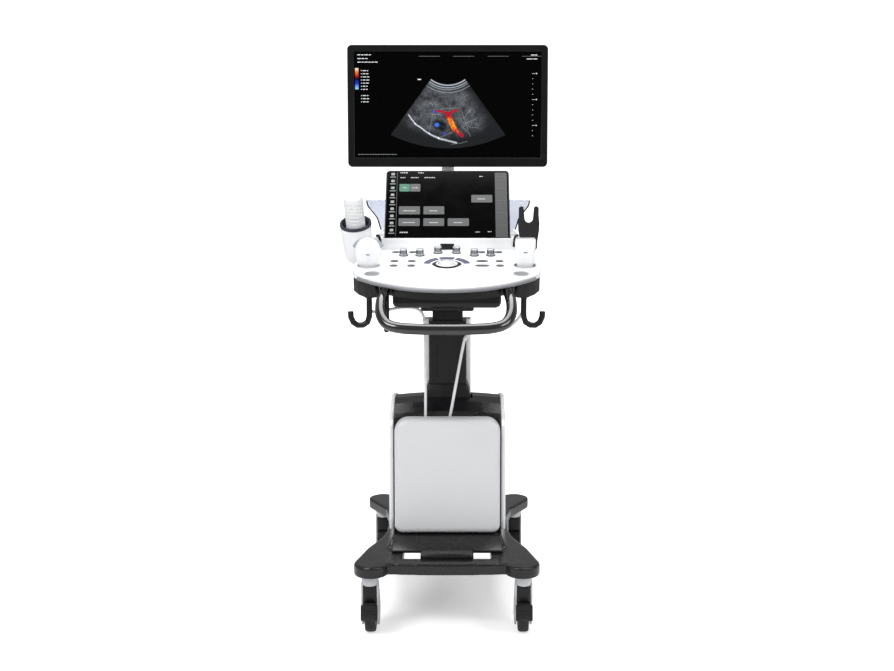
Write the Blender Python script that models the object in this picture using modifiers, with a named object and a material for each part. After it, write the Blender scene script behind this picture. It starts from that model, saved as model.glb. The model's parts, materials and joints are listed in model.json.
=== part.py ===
"""A cart-based ultrasound machine: four-legged base on casters, lifting column, swivelling console, touch screen and monitor.

Metres, +Z up. The user stands at -Y. The parts are laid out from the column's axis. CENTRE_Y then moves the whole
back, so that the origin is on the floor at the middle of the machine.
"""

import math

import bmesh
import bpy
from mathutils import Vector

# Driving dimensions
CENTRE_Y = 0.0905
FIT = 0.0004  # gap between pieces that touch
FOOT_BOTTOM, FOOT_TOP = 0.166, 0.197
DECK = 0.2255  # top of the chassis hump, where the housing stands
BODY_HALF = 0.1485  # half width of the housing shell
BODY_FRONT, BODY_REAR = -0.128, 0.215
COVER_HALF, COVER_LOW, COVER_HIGH = 0.1455, 0.2285, 0.549
COVER_FRONT, COVER_BACK = -0.197, -0.156
COLUMN = (0.107, 0.115)  # outer column, across and deep
COLUMN_BACK = (0.134, 0.050)  # the wider rear part of the outer column
COLUMN_Y, COLUMN_TOP, HEAD_LOW, HEAD_HIGH = 0.0065, 0.800, 0.838, 0.861
SWIVEL_Y = 0.010
PANEL_TILT = math.radians(12.5)
PANEL_ORIGIN = Vector((0, -0.100, 1.014))  # on the panel's top face
PANEL_THICK, TRAY_DEPTH = 0.014, 0.050
RIM_FRONT, RIM_CORNER = -0.445, (0.228, -0.345)
BLOCK_HALF, BLOCK_TOP, WELL_FLOOR = 0.203, 1.0435, 0.990
REAR_HOLDER, REAR_HOLDER_R = (0.206, -0.263), 0.029
FRONT_HOLDER, FRONT_HOLDER_R = (0.192, -0.335), 0.021
TRACKBALL_Y, TRACKBALL_R = -0.2557, 0.027
KNOBS = [(-0.118, -0.175), (-0.0735, -0.175), (-0.0253, -0.152), (0.0253, -0.152), (0.0735, -0.175), (0.118, -0.175)]
KEY_COLUMNS, KEY_ROWS = (0.0935, 0.140), (-0.148, -0.2286, -0.2678)
SCREEN_HALF, SCREEN_LOW, SCREEN_HIGH, MONITOR_FRONT = 0.268, 1.2607, 1.5631, 0.040
MONITOR_HALF, MONITOR_LOW, MONITOR_HIGH = 0.2865, 1.2352, 1.5813
TILT_AXIS = (0.110, 1.410)  # y and z of the monitor's tilt pin
POST_Y = 0.125
TOUCH_HALF, TOUCH_TILT, TOUCH_LENGTH, TOUCH_THICK = 0.175, math.radians(33.3), 0.237, 0.018
TOUCH_EDGE = (-0.119, 1.028)  # y and z of the touch screen's lower front edge
TOUCH_PIN = (-0.072, 1.043)  # y and z of its hinge pin
WHEEL_R, TRAIL = 0.050, 0.025
CASTERS = {"front_left": (-0.203, -0.333), "front_right": (0.203, -0.333),
           "rear_left": (-0.207, 0.255), "rear_right": (0.207, 0.255)}
CABLE_R, HANDLE_R = 0.004, 0.0138

COLOURS = {  # red, green, blue, roughness, metallic
    "white_shell": (0.86, 0.87, 0.88, 0.35, 0.0),
    "black_shell": (0.030, 0.031, 0.033, 0.40, 0.0),
    "grey_trim": (0.50, 0.51, 0.53, 0.40, 0.2),
    "key_grey": (0.30, 0.31, 0.33, 0.45, 0.0),
    "screen_glass": (0.010, 0.010, 0.012, 0.10, 0.0),
    "rubber": (0.025, 0.025, 0.026, 0.70, 0.0),
    "steel": (0.60, 0.61, 0.62, 0.35, 1.0),
    "clear_blue": (0.72, 0.78, 0.90, 0.20, 0.0),
    "cable_white": (0.80, 0.80, 0.79, 0.50, 0.0),
}


def clear_scene():
    for old in list(bpy.data.objects):
        bpy.data.objects.remove(old)


def new_collection(name):
    made = bpy.data.collections.new(name)
    bpy.context.scene.collection.children.link(made)
    return made


clear_scene()
PARTS = new_collection("ultrasound_machine")
CUTTERS = new_collection("cutters")


def material(name):
    found = bpy.data.materials.get(name)
    if found:
        return found
    red, green, blue, roughness, metallic = COLOURS[name]
    made = bpy.data.materials.new(name)
    made.use_nodes = True
    shader = made.node_tree.nodes["Principled BSDF"]
    shader.inputs["Base Color"].default_value = (red, green, blue, 1)
    shader.inputs["Roughness"].default_value = roughness
    shader.inputs["Metallic"].default_value = metallic
    return made


def place(obj, finish=None, location=(0, 0, 0), rotation=(0, 0, 0), parent=None):
    """Puts an object in the model, or with no finish among the hidden cutters."""
    obj.location, obj.rotation_euler, obj.parent = location, rotation, parent
    if finish:
        PARTS.objects.link(obj)
        obj.data.materials.append(material(finish))
    else:
        CUTTERS.objects.link(obj)
        obj.hide_render = True
        obj.display_type = "WIRE"
    return obj


def from_bmesh(name, shape):
    bmesh.ops.recalc_face_normals(shape, faces=shape.faces)
    mesh = bpy.data.meshes.new(name)
    shape.to_mesh(mesh)
    shape.free()
    mesh.shade_smooth()
    mesh.set_sharp_from_angle(angle=math.radians(35))
    return bpy.data.objects.new(name, mesh)


def box(name, low, high, finish=None, taper=1.0, pivot=None, parent=None):
    """A box between two corners, its top scaled by taper, with its origin at pivot."""
    low, high = Vector(low), Vector(high)
    pivot = Vector(pivot) if pivot else (low + high) / 2
    shape = bmesh.new()
    bmesh.ops.create_cube(shape, size=1.0)
    for corner in shape.verts:
        share = taper if corner.co.z > 0 else 1.0
        half = Vector((corner.co.x * share, corner.co.y * share, corner.co.z))
        corner.co = (low + high) / 2 + half * (high - low) - pivot
    return place(from_bmesh(name, shape), finish, pivot, parent=parent)


def cylinder(name, radius, depth, location, axis="Z", finish=None, sides=24, parent=None, top_radius=None):
    turn = {"Z": (0, 0, 0), "Y": (math.pi / 2, 0, 0), "X": (0, math.pi / 2, 0)}[axis]
    shape = bmesh.new()
    bmesh.ops.create_cone(shape, cap_ends=True, segments=sides, radius1=radius,
                          radius2=radius if top_radius is None else top_radius, depth=depth)
    return place(from_bmesh(name, shape), finish, location, turn, parent)


def arc(centre, radius, start, end, steps):
    """Points on an arc, with angles in degrees."""
    angles = [math.radians(start + (end - start) * i / steps) for i in range(steps + 1)]
    return [(centre[0] + radius * math.cos(a), centre[1] + radius * math.sin(a)) for a in angles]


def round_box(low, high, radius, steps=4, lower_radius=None):
    """The outline of a rectangle with round corners, its two lower corners with their own radius."""
    (x0, y0), (x1, y1) = low, high
    base = radius if lower_radius is None else lower_radius
    return (arc((x1 - radius, y1 - radius), radius, 0, 90, steps)
            + arc((x0 + radius, y1 - radius), radius, 90, 180, steps)
            + arc((x0 + base, y0 + base), base, 180, 270, steps)
            + arc((x1 - base, y0 + base), base, 270, 360, steps))


def ellipse(centre, across, deep, sides=12):
    angles = [2 * math.pi * i / sides for i in range(sides)]
    return [(centre[0] + across / 2 * math.cos(a), centre[1] + deep / 2 * math.sin(a)) for a in angles]


def mirrored(half):
    """A closed outline from its right half. A point on the middle line isn't doubled."""
    return half + [(-x, y) for x, y in reversed(half) if abs(x) > 1e-6]


def to_mesh(curve_object, name):
    """The evaluated mesh of a curve, its caps welded on."""
    PARTS.objects.link(curve_object)
    bpy.context.view_layer.update()
    mesh = bpy.data.meshes.new_from_object(curve_object.evaluated_get(bpy.context.evaluated_depsgraph_get()))
    bpy.data.objects.remove(curve_object)
    shape = bmesh.new()
    shape.from_mesh(mesh)
    bmesh.ops.remove_doubles(shape, verts=shape.verts, dist=1e-5)
    return from_bmesh(name, shape)


SIDE_ON = (math.pi / 2, 0, math.pi / 2)  # outline in y and z, thickness along X
FACE_ON = (math.pi / 2, 0, 0)  # outline in x and z, thickness along Y


def plate(name, outline, thickness, location=(0, 0, 0), rotation=(0, 0, 0), finish=None, parent=None):
    """A flat outline given its thickness, half to each side of its plane."""
    curve = bpy.data.curves.new(name, "CURVE")
    curve.dimensions, curve.fill_mode, curve.extrude = "2D", "BOTH", thickness / 2
    spline = curve.splines.new("POLY")
    spline.points.add(len(outline) - 1)
    for point, (x, y) in zip(spline.points, outline):
        point.co = (x, y, 0, 1)
    spline.use_cyclic_u = True
    return place(to_mesh(bpy.data.objects.new(name, curve), name), finish, location, rotation, parent)


def turned(name, profile, finish, location=(0, 0, 0), rotation=(0, 0, 0), parent=None, sides=32):
    """A profile of (radius, height) points, running down the outside, turned about Z."""
    mesh = bpy.data.meshes.new(name)
    mesh.from_pydata([(r, 0, z) for r, z in profile], [(i, i + 1) for i in range(len(profile) - 1)], [])
    obj = place(bpy.data.objects.new(name, mesh), finish, location, rotation, parent)
    screw = obj.modifiers.new("turn", "SCREW")
    screw.steps = screw.render_steps = sides
    screw.use_merge_vertices, screw.merge_threshold = True, 0.00001
    return obj


def smooth_route(points, step):
    """Points about one step apart on a smooth curve through the given ones."""
    ends = [Vector(p) for p in points]
    ends = [2 * ends[0] - ends[1]] + ends + [2 * ends[-1] - ends[-2]]
    route = []
    for a, b, c, d in zip(ends, ends[1:], ends[2:], ends[3:]):
        pieces = max(1, round((c - b).length / step))
        for i in range(pieces):
            t = i / pieces
            route.append(0.5 * (2 * b + (c - a) * t + (2 * a - 5 * b + 4 * c - d) * t ** 2
                                + (3 * b - a - 3 * c + d) * t ** 3))
    return route + [Vector(points[-1])]


def tube(name, points, radius, finish=None, resolution=3):
    curve = bpy.data.curves.new(name, "CURVE")
    curve.dimensions, curve.bevel_depth = "3D", radius
    curve.bevel_resolution, curve.use_fill_caps = resolution, True
    spline = curve.splines.new("POLY")
    spline.points.add(len(points) - 1)
    for point, place_at in zip(spline.points, points):
        point.co = (*place_at, 1)
    return place(to_mesh(bpy.data.objects.new(name, curve), name), finish)


def loft(name, rings, finish, location=(0, 0, 0), rotation=(0, 0, 0), parent=None):
    """A skin over rings of equally many points, capped at both ends."""
    shape = bmesh.new()
    made = [[shape.verts.new(p) for p in ring] for ring in rings]
    for lower, upper in zip(made, made[1:]):
        for i in range(len(lower)):
            j = (i + 1) % len(lower)
            shape.faces.new((lower[i], lower[j], upper[j], upper[i]))
    shape.faces.new(made[0])
    shape.faces.new(made[-1])
    return place(from_bmesh(name, shape), finish, location, rotation, parent)


def bevel(obj, width, segments=2):
    made = obj.modifiers.new("round_edges", "BEVEL")
    made.width, made.segments, made.limit_method = width, segments, "ANGLE"
    made.angle_limit = math.radians(40)
    return obj


def combine(obj, *others, operation="DIFFERENCE"):
    for other in others:
        made = obj.modifiers.new(operation.lower(), "BOOLEAN")
        made.operation, made.object = operation, other
    return obj


def along_panel(y):
    """The distance up the panel's slope, from its origin, of a point above world y."""
    return (y - PANEL_ORIGIN.y) / math.cos(PANEL_TILT)


def over_panel(x, y, height=0.0):
    """The world place of a point that height over the panel's top face."""
    up = Vector((0, -math.sin(PANEL_TILT), math.cos(PANEL_TILT)))
    slope = Vector((0, math.cos(PANEL_TILT), math.sin(PANEL_TILT)))
    return PANEL_ORIGIN + Vector((x, 0, 0)) + slope * along_panel(y) + up * height


panel_frame = bpy.data.objects.new("panel_frame", None)
PARTS.objects.link(panel_frame)
panel_frame.location, panel_frame.rotation_euler = PANEL_ORIGIN, (PANEL_TILT, 0, 0)


def make_chassis():
    """The cast base: four legs, a footrest bar between the front ones, and a hump under the housing."""
    half = ([(0, -0.352), (0.08, -0.350)] + arc((0.200, -0.333), 0.046, 195, 385, 12)
            + [(0.219, -0.220), (0.182, -0.120), (0.173, -0.060), (0.173, 0.060), (0.190, 0.140)]
            + arc((0.207, 0.255), 0.044, -25, 120, 9) + [(0.12, 0.264), (0, 0.260)])
    chassis = plate("base_chassis", mirrored(half), FOOT_TOP - FOOT_BOTTOM,
                    (0, 0, (FOOT_TOP + FOOT_BOTTOM) / 2), finish="black_shell")
    bevel(chassis, 0.009)
    hump = box("hump", (-0.168, -0.229, 0.185), (0.168, 0.250, DECK), taper=0.895)
    slot = plate("footrest_slot", round_box((-0.115, -0.272), (0.115, -0.232), 0.018), 0.1, (0, 0, FOOT_TOP))
    combine(chassis, hump, operation="UNION")
    combine(chassis, slot)


HOOD = [(BODY_FRONT, 0.538), (-0.118, 0.556), (-0.085, 0.577), (-0.050, 0.588), (-0.020, 0.590), (0.050, 0.578),
        (0.170, 0.553), (0.205, 0.541), (BODY_REAR, 0.528), (BODY_REAR, 0.520)]  # the housing's top, in y and z
CROWN = 0.008  # how much lower the hood is at its sides


def make_housing():
    """Black shell over front and top, white side panels, a vented rear cover, and what they enclose."""
    profile = [(BODY_FRONT, DECK + 0.001)] + HOOD
    shape = bmesh.new()
    rows = []
    for step in range(-3, 4):
        drop = CROWN * (step / 3) ** 2
        row = [(y, z - drop if z > 0.539 else z) for y, z in profile]
        rows.append([shape.verts.new((step / 3 * BODY_HALF, y, z)) for y, z in row])
    for left, right in zip(rows, rows[1:]):
        for i in range(len(profile) - 1):
            shape.faces.new((left[i], right[i], right[i + 1], left[i + 1]))
    shell = place(from_bmesh("body_shell", shape), "black_shell")
    skin = shell.modifiers.new("wall", "SOLIDIFY")
    skin.thickness, skin.offset, skin.use_even_offset = 0.003, -1, True
    across, deep = COLUMN_BACK
    combine(shell, box("column_hole", (-across / 2 - 0.004, COLUMN_Y - COLUMN[1] / 2 - 0.012, 0.5),
                       (across / 2 + 0.004, COLUMN_Y + COLUMN[1] / 2 + 0.012, 0.7)))

    panel = ([(-0.158, DECK + 0.001), (-0.166, 0.26), (-0.166, 0.525), (-0.158, 0.541)]
             + [(y, z - CROWN + 0.004) for y, z in HOOD[2:-2]] + [(0.222, 0.515), (0.222, DECK + 0.001)])
    for side, name in ((-1, "side_panel_left"), (1, "side_panel_right")):
        bevel(plate(name, panel, 0.012, (side * 0.1555, 0, 0), SIDE_ON, "white_shell"), 0.005)

    rear = box("rear_cover", (-BODY_HALF, BODY_REAR - 0.0035, DECK + 0.001), (BODY_HALF, BODY_REAR - 0.0005, 0.5185),
               "black_shell")
    for row in range(5):
        height = 0.42 + row * 0.018
        combine(rear, box("vent", (-0.09, 0.2, height), (0.09, 0.23, height + 0.007)))
    inlet = box("power_inlet", (-0.115, BODY_REAR, 0.260), (-0.060, BODY_REAR + 0.010, 0.300), "grey_trim")
    combine(bevel(inlet, 0.002), box("inlet_socket", (-0.108, BODY_REAR + 0.003, 0.267), (-0.080, 0.3, 0.293)))
    bevel(box("electronics_module", (-0.120, 0.082, 0.235), (0.120, 0.198, 0.430), "grey_trim"), 0.003)

    ports = box("port_panel", (-0.100, BODY_FRONT - 0.0085, 0.400), (0.100, BODY_FRONT - 0.0005, 0.515), "black_shell")
    combine(bevel(ports, 0.002), plate("empty_port", round_box((0.040, 0.425), (0.082, 0.490), 0.006), 0.012,
                                       (0, BODY_FRONT - 0.0085, 0), FACE_ON))
    for name, x in (("probe_connector_left", -0.0605), ("probe_connector_right", 0.0)):
        connector = box(name, (x - 0.021, -0.172, 0.420), (x + 0.021, BODY_FRONT - 0.009, 0.503), "white_shell")
        bevel(connector, 0.005)


def make_front_cover():
    """The white cover over the probe ports: a shell, open behind, hinged on its lower front edge."""
    wall = 0.0035
    hinge = Vector((0, COVER_FRONT + 0.008, COVER_LOW))
    stations = [(0.022, COVER_FRONT), (0.010, COVER_FRONT + 0.0035), (0.003, COVER_FRONT + 0.010),
                (0.0, COVER_FRONT + 0.021), (0.0, COVER_BACK), (wall, COVER_BACK),
                (wall, COVER_FRONT + 0.022), (0.006, COVER_FRONT + 0.012), (0.013, COVER_FRONT + 0.0065)]
    rings = []
    for inset, y in stations:
        outline = round_box((-COVER_HALF + inset, COVER_LOW + inset), (COVER_HALF - inset, COVER_HIGH - inset),
                            max(0.038 - inset, 0.010), 5, max(0.022 - inset, 0.006))
        rings.append([Vector((x, y, z)) - hinge for x, z in outline])
    loft("front_cover", rings, "white_shell", hinge)


def make_column():
    across, deep = COLUMN
    lower = box("column_lower", (-across / 2, COLUMN_Y - deep / 2, DECK + 0.001),
                (across / 2, COLUMN_Y + deep / 2, COLUMN_TOP), "black_shell")
    flare = box("column_flare", (-0.0635, COLUMN_Y - deep / 2 - 0.010, 0.585),
                (0.0635, COLUMN_Y + deep / 2 + 0.010, 0.624), taper=0.88)
    bore = box("column_bore", (-across / 2 + 0.008, COLUMN_Y - deep / 2 + 0.008, DECK + 0.010),
               (across / 2 - 0.008, COLUMN_Y + deep / 2 - 0.008, 1.0))
    back_face = COLUMN_Y + deep / 2 + 0.002
    back = box("column_back", (-COLUMN_BACK[0] / 2, back_face - COLUMN_BACK[1], 0.400),
               (COLUMN_BACK[0] / 2, back_face, COLUMN_TOP - 0.004))
    combine(bevel(lower, 0.006), flare, bevel(back, 0.008), operation="UNION")
    combine(lower, bore)
    upper = box("column_upper", (-across / 2 + 0.010, COLUMN_Y - deep / 2 + 0.010, 0.480),
                (across / 2 - 0.010, COLUMN_Y + deep / 2 - 0.010, HEAD_LOW - FIT), "black_shell")
    combine(bevel(upper, 0.004), box("upper_bore", (-0.0385, COLUMN_Y - 0.0425, 0.4), (0.0385, COLUMN_Y + 0.0425, 0.82)))
    bevel(box("lift_head", (-0.0736, -0.130, HEAD_LOW), (0.0736, 0.085, HEAD_HIGH - FIT), "black_shell",
              pivot=(0, SWIVEL_Y, HEAD_HIGH)), 0.006)


def make_console():
    """The white panel with its rear block, and the black tray below it."""
    radius = (RIM_CORNER[0] ** 2 + (RIM_CORNER[1] - RIM_FRONT) ** 2) / (2 * (RIM_CORNER[1] - RIM_FRONT))
    sweep = math.degrees(math.asin(RIM_CORNER[0] / radius))
    half = (arc((0, RIM_FRONT + radius), radius, -90, -90 + sweep, 10)
            + [(0.240, -0.322), (0.245, -0.300), (0.245, -0.238), (0.239, -0.224), (0.208, -0.216),
               (BLOCK_HALF, -0.208), (BLOCK_HALF, -0.120)])
    outline = [(x, along_panel(y)) for x, y in mirrored(half)]
    top = plate("console_top", outline, PANEL_THICK, (0, 0, -PANEL_THICK / 2), finish="white_shell", parent=panel_frame)
    bevel(top, 0.003)
    block = box("rear_block", (-BLOCK_HALF, -0.1245, 0.985), (BLOCK_HALF, BODY_REAR, BLOCK_TOP))
    bevel(block, 0.005)
    combine(top, block, operation="UNION")
    well = box("touch_well", (-0.176, -0.1236, WELL_FLOOR), (0.176, -0.020, 1.2))
    deck_slots = [cylinder("holder_hole", radius, 0.1, (side * x, along_panel(y), 0), parent=panel_frame)
                  for side in (-1, 1)
                  for (x, y), radius in ((REAR_HOLDER, REAR_HOLDER_R), (FRONT_HOLDER, FRONT_HOLDER_R))]
    ball_hole = cylinder("ball_hole", 0.0355, 0.06, (0, along_panel(TRACKBALL_Y), 0), parent=panel_frame, sides=32)
    shafts = [cylinder("shaft_hole", 0.0036, 0.06, (x, along_panel(y), 0), parent=panel_frame, sides=12)
              for x, y in KNOBS]
    keys = [plate("key_hole", outline, 0.06, parent=panel_frame) for outline in key_outlines(0.0006)]
    arcs = [plate("arc_hole", arc_outline(start, end, 0.0006), 0.06, parent=panel_frame)
            for start, end in ARC_KEYS.values()]
    combine(top, well, *deck_slots, ball_hole, *shafts, *keys, *arcs)

    tray_half = [(0, -0.395), (0.070, -0.388), (0.130, -0.368), (0.166, -0.345), (0.172, -0.332),
                 (0.172, -0.128)]
    inner_half = [(0, -0.391), (0.068, -0.384), (0.127, -0.365), (0.162, -0.343), (0.168, -0.331),
                  (0.168, -0.132)]
    middle = -PANEL_THICK - FIT - (TRAY_DEPTH - PANEL_THICK) / 2
    tray = plate("console_under", [(x, along_panel(y)) for x, y in mirrored(tray_half)], TRAY_DEPTH - PANEL_THICK,
                 (0, 0, middle), finish="black_shell", parent=panel_frame)
    hollow = plate("tray_hollow", [(x, along_panel(y)) for x, y in mirrored(inner_half)], TRAY_DEPTH - PANEL_THICK,
                   (0, 0, middle + 0.003), parent=panel_frame)
    pod = box("pod", (-0.145, -0.250, HEAD_HIGH + FIT), (0.145, 0.120, 0.9845))
    bevel(pod, 0.014)
    pod_hollow = box("pod_hollow", (-0.1365, -0.2415, HEAD_HIGH + 0.0065), (0.1365, 0.1115, 1.1))
    combine(tray, pod, operation="UNION")
    # The pod's level top would pass through the sloping panel and the rear block, so both spaces are cut clear.
    combine(tray, box("panel_space", (-0.3, -0.45, -PANEL_THICK - FIT), (0.3, 0.02, 0.1), parent=panel_frame),
            box("block_space", (-0.3, -0.1270, 0.985 - FIT), (0.3, 0.3, 1.2)), hollow, pod_hollow)


def key_outlines(grow, side=None):
    """Outlines of the oval keys on the panel, of both sides or of one."""
    found = []
    for sign in (-1, 1):
        for row, y in enumerate(KEY_ROWS):
            for x in KEY_COLUMNS:
                wide = (0.021, 0.031, 0.037)[row] if sign > 0 and x == KEY_COLUMNS[0] else 0.021
                if side in (None, sign):
                    found.append(ellipse((sign * x, along_panel(y)), wide + 2 * grow, 0.0155 + 2 * grow))
    return found


ARC_KEYS = {"arc_key_right": (8, 62), "arc_key_top": (70, 110), "arc_key_left": (118, 172)}


def arc_outline(start, end, grow):
    """The outline of a key that curves round the trackball."""
    centre = (0, along_panel(TRACKBALL_Y))
    turn = math.degrees(grow / 0.054)
    return (arc(centre, 0.0615 + grow, start - turn, end + turn, 8)
            + arc(centre, 0.0460 - grow, end + turn, start - turn, 8))


def make_controls():
    """Knobs, trackball and keys. The oval keys of each side are one rubber mat under the panel."""
    for number, (x, y) in enumerate(KNOBS, 1):
        profile = [(0, 0.0185), (0.0085, 0.0185), (0.0098, 0.0170), (0.0105, FIT), (0.0030, FIT),
                   (0.0030, -0.0165), (0, -0.0165)]
        turned(f"knob_{number}", profile, "grey_trim", (x, along_panel(y), 0), parent=panel_frame, sides=24)
    ring = [(0.0210, 0.0015), (0.0225, 0.0030), (0.0330, 0.0030), (0.0350, 0.0010), (0.0350, -0.0150),
            (0.0278, -0.0150), (0.0270, -0.0030), (0.0210, 0.0015)]
    turned("trackball_ring", ring, "key_grey", (0, along_panel(TRACKBALL_Y), 0), parent=panel_frame)
    shape = bmesh.new()
    bmesh.ops.create_uvsphere(shape, u_segments=20, v_segments=12, radius=TRACKBALL_R - 0.0008)
    ball = (0, along_panel(TRACKBALL_Y), -0.0150)
    place(from_bmesh("trackball", shape), "white_shell", ball, parent=panel_frame)
    mat_depth, key_rise = 0.0015, 0.0018
    for name, side in (("keys_left", -1), ("keys_right", 1)):
        low, high = along_panel(KEY_ROWS[-1]) - 0.012, along_panel(KEY_ROWS[0]) + 0.012
        mat_outline = round_box((0.078 * side if side > 0 else -0.152, low),
                                (0.152 if side > 0 else -0.078, high), 0.006, 3)
        mat = plate(name, mat_outline, mat_depth, (0, 0, -PANEL_THICK - 0.0035 - mat_depth / 2),
                    finish="key_grey", parent=panel_frame)
        tall = PANEL_THICK + 0.0035 + mat_depth + key_rise
        for outline in key_outlines(0, side):
            combine(mat, plate("key", outline, tall, (0, 0, key_rise - tall / 2), parent=panel_frame),
                    operation="UNION")
    for name, (start, end) in ARC_KEYS.items():
        plate(name, arc_outline(start, end, 0), 0.018, (0, 0, key_rise - 0.009), finish="key_grey", parent=panel_frame)


def make_handle():
    """A bowed tube whose ends pass through the tray's front wall."""
    half = [(0.1480, -0.330, 0.929), (0.1550, -0.365, 0.9220), (0.1600, -0.397, 0.912), (0.1632, -0.432, 0.894),
            (0.1600, -0.463, 0.872), (0.1450, -0.484, 0.853), (0.1150, -0.496, 0.845), (0.0600, -0.502, 0.8425)]
    points = [(-x, y, z) for x, y, z in half] + [(0, -0.5035, 0.842)] + list(reversed(half))
    tube("front_handle", smooth_route(points, 0.022), HANDLE_R, "black_shell")
    combine(bpy.data.objects["console_under"], tube("handle_hole", smooth_route(points, 0.022), HANDLE_R + FIT))
    lever = plate("release_lever", round_box((-0.0070, -0.106), (0.0070, 0.006), 0.005, 2), 0.008,
                  (-0.157, -0.300, 0.9110), FACE_ON, "black_shell")
    bevel(lever, 0.002)


def make_side_brackets():
    """Under each end of the panel: a moulded block that takes the probe holders, with a cable hook below it."""
    for side, name in ((-1, "hook_left"), (1, "hook_right")):
        outline = [(0.1737, -0.352), (0.1800, -0.362), (0.2080, -0.362), (0.2290, -0.338), (0.2425, -0.310),
                   (0.2425, -0.240), (0.2360, -0.228), (0.1737, -0.228)]
        if side < 0:
            outline = [(-x, y) for x, y in reversed(outline)]
        depth = 0.042
        bracket = plate(name, [(x, along_panel(y)) for x, y in outline], depth,
                        (0, 0, -PANEL_THICK - FIT - depth / 2), finish="black_shell", parent=panel_frame)
        bevel(bracket, 0.003)
        half = [(0.1984, 0.918), (0.1984, 0.880), (0.1988, 0.852), (0.2035, 0.838), (0.2150, 0.8305),
                (0.2290, 0.8300), (0.2400, 0.8375), (0.2460, 0.8510), (0.2469, 0.8665)]
        points = [(side * x, -0.343, z) for x, z in half]
        hook = tube(name + "_rod", smooth_route(points, 0.012), 0.0080)
        combine(bracket, hook, operation="UNION")
        combine(bracket, *[cylinder("bracket_hole", r + 0.001, 0.2, (side * x, along_panel(y), 0), parent=panel_frame)
                           for (x, y), r in ((REAR_HOLDER, REAR_HOLDER_R), (FRONT_HOLDER, FRONT_HOLDER_R))])


CUP_MOUTH, CUP_LEAN = Vector((-0.2450, -0.200, 1.0865)), (math.radians(25), math.radians(-3), 0)
CUP_DEPTH = 0.115


def make_gel_cup():
    """A leaning cup that warms the gel, and the bottle in it."""
    floor = 0.003 - CUP_DEPTH
    cup = [(0, floor), (0.0250, floor), (0.0325, -0.101), (0.0350, -0.080), (0.0370, -0.030), (0.0385, 0.0),
           (0.0415, -0.0015), (0.0415, -0.012), (0.0395, -0.070), (0.0355, -0.104), (0.0270, -CUP_DEPTH),
           (0, -CUP_DEPTH)]
    turned("gel_cup", cup, "white_shell", CUP_MOUTH, CUP_LEAN, sides=28)
    bottle = [(0, 0.0830), (0.0190, 0.0825), (0.0238, 0.0795), (0.0255, 0.0740), (0.0255, -0.0480),
              (0.0235, -0.0580), (0.0120, -0.0680), (0.0105, -0.0700), (0.0105, -0.0980), (0, -0.0980)]
    turned("gel_bottle", bottle, "white_shell", CUP_MOUTH, CUP_LEAN, sides=24)


def make_storage_bin():
    """A clear open bin across the back of the console."""
    half = [(0.243, 1.1350), (0.238, 1.118), (0.224, 1.100), (0.211, 1.082), (0.204, 1.060),
            (0.200, 1.048), (0.192, 1.0440)]
    inner = [(0.2600, 1.2000), (0.2403, 1.1342), (0.2355, 1.119), (0.2215, 1.101), (0.2085, 1.083),
             (0.2015, 1.061), (0.1975, 1.0515), (0.191, 1.0465)]
    clear_bin = plate("storage_bin", mirrored(half), 0.054, (0, 0.183, 0), FACE_ON, "clear_blue")
    combine(clear_bin, plate("bin_hollow", mirrored(inner), 0.049, (0, 0.183, 0), FACE_ON))


def make_cable_fork():
    """A soft two-pronged hanger for a cable, fixed to the right edge of the console."""
    middle = 0.2190
    half = ([(0, 1.0870)] + [(0.0115 * math.sin(a), 1.0985 - 0.0115 * math.cos(a))
                              for a in (math.pi / 6, math.pi / 3, math.pi / 2)]
            + [(0.0135, 1.1240)] + arc((0.0200, 1.1245), 0.0065, 150, 10, 5)
            + [(0.0262, 1.108), (0.0285, 1.085), (0.0280, 1.068), (0.0238, 1.042), (0.0225, 1.020),
               (0.0140, 1.004), (0.0125, 0.962)])
    fork = plate("cable_fork", mirrored(half), 0.018, (middle, -0.2000, 0), FACE_ON, "rubber")
    bevel(fork, 0.004)


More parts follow.
